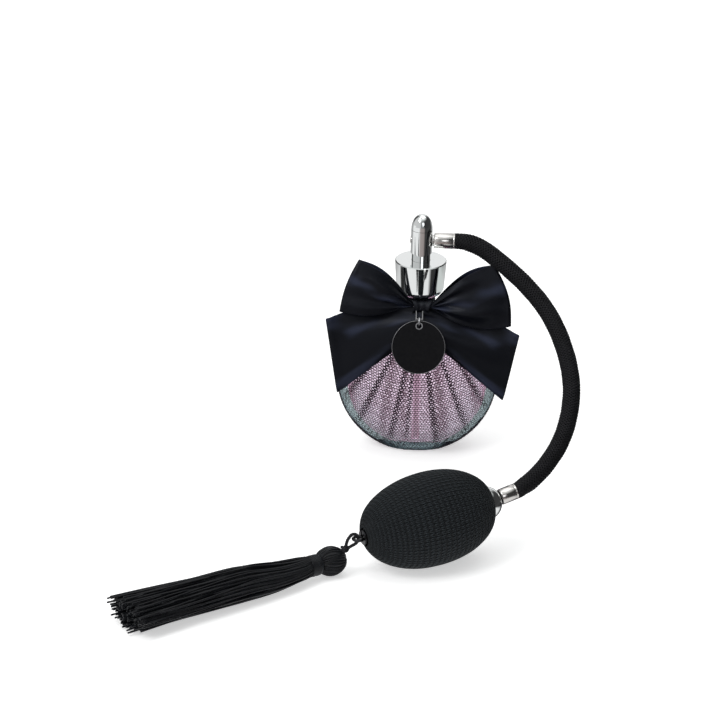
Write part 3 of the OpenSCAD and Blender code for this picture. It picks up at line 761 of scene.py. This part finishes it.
class BOTTLE_OT_studio(bpy.types.Operator):
    """Pale floor, soft light and the camera"""
    bl_idname = "bottle.studio"
    bl_label = "Studio"
    bl_options = {"REGISTER", "UNDO"}

    def execute(self, context):
        scene = context.scene
        self.camera(scene)
        self.floor(scene)
        self.lamp(scene, "key_softbox", (-1.1, -1.0, 1.7), 0.9, 13, (1, 1, 1))
        self.lamp(scene, "top_softbox", (0.15, 0.25, 1.9), 1.6, 6, (1, 1, 1))
        self.lamp(scene, "front_softbox", (0.5, -1.9, 0.9), 0.8, 3, (0.97, 0.98, 1))
        self.surroundings(scene)
        return {"FINISHED"}

    def camera(self, scene):
        """The camera, which looks down at the middle of the view."""
        settings = scene.bottle_studio
        tip, roll = settings.camera_height, settings.camera_roll
        level = Vector((1, 0, 0))
        rise = Vector((0, math.sin(tip), math.cos(tip)))
        right = level * math.cos(roll) + rise * math.sin(roll)
        up = rise * math.cos(roll) - level * math.sin(roll)
        sight = Vector((0, math.cos(tip), -math.sin(tip)))
        lens = bpy.data.cameras.new("studio_camera")
        lens.sensor_width = 36
        lens.lens = 36 * settings.camera_distance / settings.field_width
        lens.clip_end = 60
        camera = bpy.data.objects.new("studio_camera", lens)
        scene.collection.objects.link(camera)
        turn = Matrix((right, up, -sight)).transposed().to_4x4()
        place = VIEW_MIDDLE - sight * settings.camera_distance
        camera.matrix_world = Matrix.Translation(place) @ turn
        scene.camera = camera
        scene.view_settings.view_transform = "Standard"

    def floor(self, scene):
        """White paper under the bottle."""
        bm = bmesh.new()
        bmesh.ops.create_grid(bm, x_segments=4, y_segments=4, size=6)
        mesh = bpy.data.meshes.new("studio_floor")
        bm.to_mesh(mesh)
        bm.free()
        floor = bpy.data.objects.new("studio_floor", mesh)
        scene.collection.objects.link(floor)
        paper = Finish("white_paper", {
            "Roughness": 0.9, "Specular IOR Level": 0.1, "Emission Strength": 0.50,
            "Emission Color": (1, 1, 1, 1)})
        cloud = paper.speckle(0.8, 2)
        paper.colour(paper.mixed(cloud, (0.93, 0.93, 0.93, 1), (0.95, 0.95, 0.95, 1)))
        # Painted reflection: bands of light and dark that metal sees in the paper
        self.painted_metal_reflection(paper)
        mesh.materials.append(paper.material)

    def painted_metal_reflection(self, paper):
        """Painted reflection for metal: glossy rays see the paper black close by, as painted shade
        of the bottle and bow, then painted bands of light and dark.
        """
        x, y, _ = paper.parts(paper.where())
        turn = paper.round_about(x, y)
        # inner is the painted shade close to the bottle, as metal reflects it
        inner = (0.02, 0.02, 0.025, 1)
        near = paper.ramp(turn, [
            (0.0, 0.72), (0.20, 0.80), (0.22, 0.03), (0.29, 0.03), (0.32, 1.0), (0.60, 0.95),
            (0.635, 0.04), (0.72, 0.04), (0.75, (0.70, 0.74, 0.72)), (1.0, 0.72)])
        far = paper.ramp(turn, [
            (0.0, 0.5), (0.18, 0.45), (0.22, 1.0), (0.42, 1.0), (0.46, (0.42, 0.37, 0.36)),
            (0.56, (0.36, 0.31, 0.30)), (0.60, 0.05), (0.82, 0.06), (0.87, 0.5), (1.0, 0.5)])
        radius = (x ** 2.0 + y ** 2.0) ** 0.5
        close = paper.mixed(radius.step(0.112, 0.135), inner, near)
        shown = paper.mixed(radius.step(0.185, 0.215), close, far)
        glow = paper.node("ShaderNodeEmission", {}, {"Color": shown, "Strength": 0.9})
        light = paper.node("ShaderNodeLightPath", {}, {})
        seen = light.out("Is Glossy Ray") * (1.0 - light.out("Is Transmission Ray"))
        mix = paper.node("ShaderNodeMixShader", {}, {
            0: seen, 1: paper.surface.outputs[0], 2: glow})
        paper.put(paper.nodes["Material Output"].inputs["Surface"], mix)

    def lamp(self, scene, name, place, size, power, colour):
        """A soft square lamp that points at the bottle."""
        data = bpy.data.lights.new(name, "AREA")
        data.size = size
        data.energy = power
        data.color = colour
        made = bpy.data.objects.new(name, data)
        scene.collection.objects.link(made)
        made.location = place
        aim = Vector((-0.01, -0.05, 0.05)) - Vector(place)
        made.rotation_euler = aim.to_track_quat("-Z", "Y").to_euler()

    def surroundings(self, scene):
        """A studio round the bottle: a big window of light at the left, darker at the right."""
        world = bpy.data.worlds.new("studio_room")
        scene.world = world
        world.use_nodes = True
        room = Shader(world.node_tree)
        x, y, z = room.parts(room.where("Generated"))
        lights = [(-180, 1.8), (-160, 1.7), (-148, 0.12), (-122, 0.12), (-112, 1.3), (-20, 1.2),
                  (-6, 0.45), (16, 0.36), (28, 0.07), (140, 0.10), (158, 1.6), (180, 1.8)]
        walls = room.ramp(room.round_about(x, y),
                          [((angle + 180) / 360, light) for angle, light in lights])
        background = room.nodes["Background"]
        room.put(background.inputs["Color"],
                 room.mixed(z.step(0.62, 0.88), walls, (1.5, 1.54, 1.53, 1)))
        room.put(background.inputs["Strength"], 0.5)


class BOTTLE_OT_hose(bpy.types.Operator):
    """Braided hose from the head to the bulb"""
    bl_idname = "bottle.hose"
    bl_label = "Braided hose"
    bl_options = {"REGISTER", "UNDO"}

    def execute(self, context):
        settings = context.scene.bottle_hose
        inward = along(BULB_PLAN, NIPPLE_TILT)
        straight, lining_r, strand_r = 1.4, 3.4, 0.44
        tied_r, swell, weave = 3.26, 0.42, 0.15
        corners = [HOSE_START, HOSE_START + Vector((straight, 0, 0))]
        corners += [Vector(point) / MM for point in HOSE_ROUTE]
        corners += [HOSE_END + straight * inward, HOSE_END]
        finish = yarn("black_braid", (0.0026, 0.0026, 0.004), 0.5, 0.02)
        lining = threads("hose_lining", [smooth_path(corners, 1.2)], lining_r, finish, "head",
                         sides=6)
        rings = frames(smooth_path(corners, 0.38))
        count = settings.braid_strands
        twist = math.tau / (settings.braid_pitch / MM)
        whole = rings[-1][0]
        strands = []
        for way in (1, -1):
            for k in range(count):
                path = []
                for run, point, side, other in rings:
                    turn = math.tau * k / count + way * twist * run
                    free = blend_to(min(run, whole - run), 1.5, 8.0)
                    over = way * math.cos(count * twist * run)
                    radius = tied_r + swell * free + weave * over
                    path.append(point + radius * (math.cos(turn) * side + math.sin(turn) * other))
                strands.append(path)
        braid = threads("hose_braiding", strands, strand_r, finish, "head",
                        ["hose_braid"])
        path = [Vector(p) * MM for p in smooth_path(corners, 4)]
        length_of(path)
        paint_nodes(moulded("hose_rubber", (0.02, 0.02, 0.021), 0.55), "hose_core")
        return {"FINISHED"}


class BOTTLE_OT_flask(bpy.types.Operator):
    """Thick glass flask and the perfume in it"""
    bl_idname = "bottle.flask"
    bl_label = "Flask and perfume"
    bl_options = {"REGISTER", "UNDO"}

    def execute(self, context):
        paint_nodes(glass(), "glass_bottle")
        paint_nodes(perfume(context.scene.bottle_flask.perfume_colour), "perfume_fill")
        return {"FINISHED"}


class BOTTLE_OT_sock(bpy.types.Operator):
    """Net sock, gathered in pleats at the neck"""
    bl_idname = "bottle.sock"
    bl_label = "Net sock"
    bl_options = {"REGISTER", "UNDO"}

    def execute(self, context):
        settings = context.scene.bottle_flask
        lift = settings.pleat_height / MM
        bm = woven(480, 84, lambda u, v: sock_point(u, v, lift)[0], (1.0, 1.0))
        fold = bm.verts.layers.float.new("fold")
        uv = bm.loops.layers.uv.active
        wide, high = settings.mesh_width / MM, settings.mesh_height / MM
        for face in bm.faces:
            middle = sum(loop[uv].uv.x for loop in face.loops) / 4
            for loop in face.loops:
                at = loop[uv].uv.copy()
                loop.vert[fold] = sock_point(at.x, at.y, lift)[1]
                across, down = net_place(at.x, at.y, middle)
                loop[uv].uv = (across / wide, down / high)
        sock = piece("net_sock", joined(bm, 0.004), net(), "bottle", ["mesh_sock"])
        paint_nodes(elastic(), "sock_elastic")
        return {"FINISHED"}


class BOTTLE_OT_bow(bpy.types.Operator):
    """Satin bow: two loops, two tails, the knot and the band round the neck"""
    bl_idname = "bottle.bow"
    bl_label = "Satin bow"
    bl_options = {"REGISTER", "UNDO"}
    join = 0.01

    def execute(self, context):
        settings = context.scene.bottle_bow
        self.finish = satin(settings.satin_colour)
        self.wall = settings.ribbon_thickness
        self.loop("bow_loop_left_satin", -1, (-2.4, -11.6, 76.4), (-29.4, -9.5, 97.8),
                  (-38.0, -18.0, 74.6), (3.0, 2.6, 1.5), "bow_loop_left", 3)
        self.loop("bow_loop_right_satin", 1, (4.5, -11.6, 76.2), (34.8, -8.5, 96.8),
                  (43.6, -17.0, 69.2), (3.2, 3.2, 4.2), "bow_loop_right", 5)
        self.tail("bow_tail_left_satin", (0.9, -12.5, 75.5), (-44.2, -15.2, 69.6),
                  (-37.8, -18.2, 32.8), (-12.0, -18.8, 57.6), "bow_tail_left", 7, 0.6)
        self.tail("bow_tail_right_satin", (2.1, -12.5, 75.0), (47.6, -15.6, 64.4),
                  (40.8, -17.6, 30.2), (13.0, -18.8, 55.8), "bow_tail_right", 11, 2.6)
        self.knot(self.band())
        return {"FINISHED"}

    def ribbon(self, name, bm, node):
        """A piece of the satin ribbon, with its thickness."""
        return piece(name, bm, self.finish, "bottle", [node], self.wall, 1)

    def loop(self, name, side, root, top, foot, swell, node, seed):
        """A loop of ribbon: out from the knot, round its outer fold and back behind.

        root lies at the knot, top and foot are the ends of the outer fold, and swell is how far
        the loop bulges, arches up and sags.
        """
        root, top, foot = Vector(root), Vector(top), Vector(foot)
        bulge, arch, sag = swell
        gathered = 7.0

        def place(u, v):
            front = u < 0.5
            reach = 1 - abs(u - 0.5) * 2
            out = math.sin(reach * math.pi / 2) ** 0.9
            spread = blend_to(reach, -0.1, 0.95)
            at_root = root + Vector((0, 0, (0.5 - v) * gathered))
            edge = top.lerp(foot, v)
            edge.x += side * 3.4 * math.sin(math.pi * v) * (0.8 if side > 0 else 0.45)
            point = at_root.lerp(edge, reach)
            centre = root.z + (edge.z - root.z) * reach
            point.z = centre + (point.z - centre) * spread
            belly = math.sin(min(1.0, reach * 1.06) * math.pi * 0.94)
            depth = bulge * belly * (0.55 + 0.45 * math.sin(math.pi * v))
            pinch = math.exp(-reach * 3.4) * blend_to(reach, -0.12, 0.05)
            creases = 1.9 * pinch * math.sin((v * 3.4 + 0.15 * seed) * math.tau)
            roll = 2.1 * math.sin((v * 1.25 + reach * 0.55 + seed * 0.21) * math.tau) * belly
            wave = 0.5 * noise.noise(Vector((reach * 2.2 + seed, v * 2.4, 0.3)))
            if front:
                point.y -= depth + creases * 0.9 + roll * 0.42 + wave
            else:
                point.y += depth * 0.75 + creases * 0.5 + wave
                point.z += 0.9 * belly * (1 - v)
            point.z += math.sin(math.pi * reach) * (arch * (1 - v) - sag * v * v)
            point.x += side * 0.35 * (1 - out)
            return point

        made = self.ribbon(name, joined(woven(64, 34, place, (75.0, 27.0))), node)

    def tail(self, name, root, upper, tip, inner, node, seed, hem):
        """A tail of ribbon: from under the knot, over the flask's shoulder, to a slanting end.

        root lies at the knot, upper and tip are the ends of the cut edge, inner is where the
        lower edge heads before it bends to the tip, and hem is how far that edge turns back.
        """
        root, upper, tip, inner = (Vector(p) for p in (root, upper, tip, inner))
        start = root + Vector((math.copysign(3.6, -upper.x), -6.0, -9.5))

        def place(u, v):
            outer = root.lerp(upper, u)
            end = upper.lerp(tip, v)
            edge = root.lerp(start, v).lerp(end, u)
            low = inner.lerp(tip, blend_to(u, 0.30, 1.0) * u)
            inside = start.lerp(low, u ** 0.8)
            point = outer.lerp(inside, v)
            point = point.lerp(edge, u * u * 0.85)
            point.z += 2.2 * (1 - v) ** 2 * math.sin(math.pi * u)
            point.y += 5.5 * (1 - v) ** 3 * math.sin(math.pi * min(1, u * 1.05)) ** 0.8
            point.y -= 0.9 * math.sin(math.pi * min(1, u * 1.1)) * math.sin(math.pi * v)
            fall = math.exp(-u * 3.0)
            point.y -= 0.8 * fall * math.sin((v * 2.3 + seed * 0.17) * math.tau)
            point.y -= 0.8 * noise.noise(Vector((u * 2.0 + seed, v * 2.2, 1.7)))
            point.y += hem * blend_to(v, 0.86, 1.0) * blend_to(u, 0.35, 0.7)
            return clear_of_flask(point, 1.5 - 0.7 * v)

        made = self.ribbon(name, joined(woven(44, 36, place, (45.0, 34.0))), node)

    def knot(self, band):
        """The short crossing of ribbon that holds the loops together."""
        middle, half_wide, half_deep, half_high = Vector((0.9, -10.7, 75.1)), 3.6, 3.0, 3.4

        def place(u, v):
            turn = u * math.tau
            side = (v - 0.5) * 2
            wide = half_wide + 1.1 * math.sin(turn) ** 2
            crease = 0.18 * math.sin(side * 9 + 1.2 * math.sin(turn))
            squeeze = 1 - 0.16 * (1 - side * side)
            x = side * wide + 0.3 * math.sin(turn * 2)
            y = -(half_deep + crease) * squeeze * math.cos(turn)
            z = (half_high + crease) * squeeze * math.sin(turn)
            return middle + Vector((x, y, z))

        cloth = joined(woven(40, 18, place, (22.0, 9.0)), self.join)
        made = self.ribbon("bow_knot_satin", cloth, "bow_knot")

    def band(self):
        """The ribbon round the neck, crushed into soft folds."""
        band_r, foot, height = 7.15, 75.0, 3.3

        def place(u, v):
            turn = u * math.tau
            fold = 0.28 * math.sin((v * 2.6 + 0.35 * math.sin(turn * 2)) * math.tau)
            radius = band_r + fold + 0.75 * blend_to(v, 0.6, 1.0)
            return Vector((radius * math.cos(turn), radius * math.sin(turn), foot + height * v))

        cloth = joined(woven(96, 14, place, (44.0, 3.0)), self.join)
        return self.ribbon("neck_ribbon_satin", cloth, "neck_ribbon")


class BOTTLE_OT_tag(bpy.types.Operator):
    """Round tag with its rim, eyelet, ring and hanger"""
    bl_idname = "bottle.tag"
    bl_label = "Hanging tag"
    bl_options = {"REGISTER", "UNDO"}

    def execute(self, context):
        paint_nodes(lacquer(), "tag_disc")
        metal = brass("tag_silver", (0.62, 0.63, 0.65))
        paint_nodes(metal, "tag_ring")
        dark = brass("tag_gunmetal", (0.30, 0.30, 0.31))
        paint_nodes(dark, "tag_eyelet", "tag_hanger")
        front = [(12.32, 0.49), (12.36, 0.57), (12.46, 0.6), (12.56, 0.54), (12.6, 0.4)]
        back = [(radius, -height) for radius, height in reversed(front)]
        rim = turned(front + back + front[:1], AT_TAG, 128)
        piece("tag_rim", rim, dark, "tag")
        return {"FINISHED"}


class BOTTLE_OT_sprayer(bpy.types.Operator):
    """Sprayer plug, dip tube, collar, head, finial and nozzle"""
    bl_idname = "bottle.sprayer"
    bl_label = "Sprayer"
    bl_options = {"REGISTER", "UNDO"}

    def execute(self, context):
        paint_nodes(chrome(), "collar_shell", "head_body", "head_finial", "dome_cup")
        paint_nodes(moulded("liner_plastic", (0.05, 0.05, 0.05), 0.4), "collar_liner")
        paint_nodes(moulded("gasket_rubber", (0.03, 0.03, 0.03), 0.7), "neck_gasket")
        paint_nodes(moulded("sprayer_plastic", (0.80, 0.80, 0.78), 0.35), "sprayer_plug")
        paint_nodes(moulded("dip_plastic", (0.93, 0.93, 0.92), 0.25, 0.7), "dip_tube")
        paint_nodes(steel(), "nozzle_insert", "hose_nipple", "bulb_nipple")
        metal = ferrule_metal()
        bore, out, crimp = 2.6, 3.7, 3.63
        for name, length, place, node in (
                ("head_ferrule_metal", 9.8, AT_HEAD_FERRULE, "head_ferrule"),
                ("bulb_ferrule_metal", 7.98, AT_NIPPLE @ Matrix.Translation((0, 0, 7.82)),
                 "bulb_ferrule")):
            outline = [(bore, 0.0), (3.3, 0.0), (3.58, 0.12), (out, 0.4), (out, length - 1.0),
                       (crimp, length - 0.92), (crimp, length - 0.78), (out, length - 0.7),
                       (out, length - 0.3), (3.6, length - 0.08), (3.45, length),
                       (bore, length), (bore, 0.0)]
            piece(name, turned(outline, place), metal, "head", [node])
        return {"FINISHED"}


class BOTTLE_OT_bulb(bpy.types.Operator):
    """Knitted cover of the squeeze bulb, with the rubber and valves inside"""
    bl_idname = "bottle.bulb"
    bl_label = "Squeeze bulb"
    bl_options = {"REGISTER", "UNDO"}

    def execute(self, context):
        settings = context.scene.bottle_hose
        ribs = settings.knit_ribs
        girth, valve_end, dome_end, mouth = 21.5, 33.4, 31.0, 3.6
        first, last = -math.asin(32.9 / valve_end), math.asin(29.6 / dome_end)

        def outline(v):
            """Radius and height of the cover: v goes from the inlet valve to the dome."""
            turn = first * (1 - v) + last * v
            if turn < 0:
                return girth * math.cos(turn) ** 0.92, valve_end * math.sin(turn)
            return girth * math.cos(turn) ** 0.8, dome_end * math.sin(turn)

        def place(u, v):
            radius, height = outline(v)
            turn = u * math.tau
            rib = 0.5 + 0.5 * math.cos(turn * ribs)
            slack = 0.25 * noise.noise(Vector((math.cos(turn) * 1.4, math.sin(turn) * 1.4, v * 4)))
            radius += (rib * 0.55 - 0.34) * min(1.0, radius / 12) + slack - 0.05
            if radius > 2:
                radius = max(radius, mouth)
            return Vector((radius * math.cos(turn), radius * math.sin(turn), height))

        bm = joined(woven(ribs * 4, 150, place, (float(ribs), 33.0)), 0.004)
        bmesh.ops.transform(bm, matrix=AT_BULB, verts=bm.verts[:])
        cover = piece("bulb_knitting", bm, knitting(settings.knit_colour), "head",
                      ["bulb_cover"])
        paint_nodes(moulded("bulb_rubber", (0.02, 0.02, 0.02), 0.6), "rubber_bulb")
        paint_nodes(brass("valve_brass", (0.80, 0.60, 0.30)), "outlet_valve_body")
        paint_nodes(brass("blackened_brass", (0.05, 0.05, 0.055)), "inlet_valve_body")
        paint_nodes(steel("ball_steel"), "outlet_valve_ball", "inlet_valve_ball")
        return {"FINISHED"}


class BOTTLE_OT_tassel(bpy.types.Operator):
    """Tassel: hanging cord, knot, head, wrapping and skirt"""
    bl_idname = "bottle.tassel"
    bl_label = "Tassel"
    bl_options = {"REGISTER", "UNDO"}

    def execute(self, context):
        settings = context.scene.bottle_tassel
        cord = yarn("tassel_cord", (0.006, 0.006, 0.008), 0.45, 0.08)
        silk = yarn("tassel_silk", settings.thread_colour, 0.36, 0.08)
        self.hanging(cord)
        self.head(silk)
        self.wrapping(silk)
        self.skirt(silk, settings.skirt_threads)
        return {"FINISHED"}

    def hanging(self, cord):
        """The plied cord through the tassel's eye, and the overhand knot that ties it."""
        ply_r, tie_r, plies = 0.42, 0.72, 3
        away = TASSEL_PLACE - EYE_PLACE
        out = Vector((away.x, away.y, 0)).normalized()

        def spot(run, z):
            return EYE_PLACE + run * out + Vector((0, 0, z))

        knot = spot(math.hypot(away.x, away.y) - 6.1, away.z + 6.2)
        line = [knot + Vector((0.4, 0, 0.2)), spot(4.9, -1.2), spot(4.0, 0.6), spot(3.0, 1.9),
                spot(1.7, 2.3), spot(0.4, 1.6), spot(0.0, 0.0), spot(0.7, -2.0),
                spot(2.9, -3.6), knot + Vector((0.2, 0, -0.4))]
        rings = frames(smooth_path(line, 0.25))
        paths = []
        for k in range(plies):
            path = []
            for run, point, side, other in rings:
                turn = math.tau * (k / plies + run / 3.0)
                path.append(point + 0.40 * (math.cos(turn) * side + math.sin(turn) * other))
            paths.append(path)
        threads("tassel_hanging_cord", paths, ply_r, cord, "tassel",
                ["tassel_loop"], sides=1)
        tie = []
        steps = 72
        for i in range(steps):
            t = math.tau * i / steps
            wide = 1.05 + 0.42 * math.cos(3 * t)
            tie.append(knot + Vector((wide * math.cos(2 * t), wide * math.sin(2 * t),
                                      0.75 * math.sin(3 * t))))
        threads("tassel_overhand_knot", [tie], tie_r, cord, "tassel",
                ["tassel_knot"], sides=2, closed=True)

    def head(self, silk):
        """The round head: a core, and threads laid over it from end to end."""
        rng = random.Random(4)
        count, steps, thread_r = 44, 18, 0.46
        core = turned([(6.35 * math.sin(math.pi * i / 20), -7.2 * math.cos(math.pi * i / 20))
                       for i in range(21)], AT_TASSEL, 48)
        piece("tassel_head_core", core, silk, "tassel", ["tassel_head"])
        lines = []
        for k in range(count):
            turn = math.tau * (k + rng.uniform(-0.2, 0.2)) / count
            lift = rng.uniform(6.36, 6.56)
            path = []
            for i in range(steps + 1):
                a = math.pi * (0.04 + 0.92 * i / steps)
                swirl = turn + 0.10 * math.sin(a * 2 + k)
                path.append(AT_TASSEL @ Vector((lift * math.sin(a) * math.cos(swirl),
                                                lift * math.sin(a) * math.sin(swirl),
                                                -lift * 1.12 * math.cos(a))))
            lines.append(path)
        threads("tassel_head_threads", lines, thread_r, silk, "tassel")

    def wrapping(self, silk):
        """Thread wound round the throat, below the head."""
        turns, steps, wound_r, thread_r = 9, 36, 4.62, 0.34
        path = []
        for i in range(turns * steps + 1):
            turn = math.tau * i / steps
            z = 7.4 + 4.6 * i / (turns * steps)
            radius = wound_r + 0.05 * math.sin(i * 1.7)
            path.append(AT_TASSEL @ Vector((radius * math.cos(turn), radius * math.sin(turn), z)))
        core = turned([(0, 6.6), (4.4, 6.6), (4.5, 9.0), (4.4, 12.4), (0, 12.4)], AT_TASSEL, 40)
        piece("tassel_throat", core, silk, "tassel")
        threads("tassel_wrapping", [path], thread_r, silk, "tassel",
                ["tassel_wrap"], sides=1)

    def skirt(self, silk, count):
        """Threads that fan out of the wrapping and lie on the table."""
        rng = random.Random(8)
        steps, thread_r, throat_r, start, table = 22, 0.47, 4.4, 12.2, 6.6
        lines = []
        for _ in range(count):
            turn = rng.uniform(0, math.tau)
            ring = math.sqrt(rng.uniform(0.0, 1.0))
            up, side = ring * math.cos(turn), ring * math.sin(turn)
            length = rng.uniform(93, 99) if rng.random() < 0.9 else rng.uniform(84, 101)
            sway, beat, phase = rng.uniform(0.5, 2.0), rng.uniform(0.6, 1.5), rng.uniform(0, 6.28)
            bend = rng.uniform(-2.2, 2.2)
            path = []
            for i in range(steps + 1):
                t = i / steps
                wide = throat_r + 11.4 * (t ** 0.55) * (1 - 0.06 * t)
                high = throat_r + 3.0 * blend_to(t, 0.0, 0.4) - 0.3 * t
                x = (high - table) * blend_to(t, 0.0, 0.42)
                x += high * up * (1 - 0.35 * abs(side) * t)
                x += 0.3 * math.sin(beat * 9 * t + phase)
                y = wide * side + bend * t * t
                y += sway * math.sin(beat * t * math.tau + phase) * t
                path.append(AT_TASSEL @ Vector((max(x, -table), y, start + length * t)))
            lines.append(path)
        threads("tassel_skirt_threads", lines, thread_r, silk, "tassel",
                ["tassel_skirt"])


class BOTTLE_PT_sidebar(bpy.types.Panel):
    """The bottle's pieces, in the order in which they are made"""
    bl_label = "Perfume bottle"
    bl_idname = "BOTTLE_PT_sidebar"
    bl_space_type = "VIEW_3D"
    bl_region_type = "UI"
    bl_category = "Bottle"

    def draw(self, context):
        for group, settings, operators in SECTIONS:
            box = self.layout.box()
            values = getattr(context.scene, group)
            for name in settings.__annotations__:
                box.prop(values, name)
            for operator in operators:
                box.operator(operator.bl_idname)


SECTIONS = (
    ("bottle_studio", StudioSettings, (BOTTLE_OT_studio,)),
    ("bottle_hose", HoseSettings, (BOTTLE_OT_hose, BOTTLE_OT_bulb)),
    ("bottle_flask", BottleSettings, (BOTTLE_OT_flask, BOTTLE_OT_sock)),
    ("bottle_bow", BowSettings, (BOTTLE_OT_bow, BOTTLE_OT_tag, BOTTLE_OT_sprayer)),
    ("bottle_tassel", TasselSettings, (BOTTLE_OT_tassel,)),
)
CLASSES = [section[1] for section in SECTIONS]
CLASSES += [operator for section in SECTIONS for operator in section[2]] + [BOTTLE_PT_sidebar]


def register():
    for made in CLASSES:
        bpy.utils.register_class(made)
    for group, settings, _ in SECTIONS:
        setattr(bpy.types.Scene, group, PointerProperty(type=settings))


def unregister():
    for group, _, _ in SECTIONS:
        delattr(bpy.types.Scene, group)
    for made in reversed(CLASSES):
        bpy.utils.unregister_class(made)


def main():
    register()
    bpy.ops.bottle.studio()
    bpy.ops.bottle.hose()
    bpy.ops.bottle.flask()
    bpy.ops.bottle.sock()
    bpy.ops.bottle.bow()
    bpy.ops.bottle.tag()
    bpy.ops.bottle.sprayer()
    bpy.ops.bottle.bulb()
    bpy.ops.bottle.tassel()


if __name__ == "__main__":
    main()
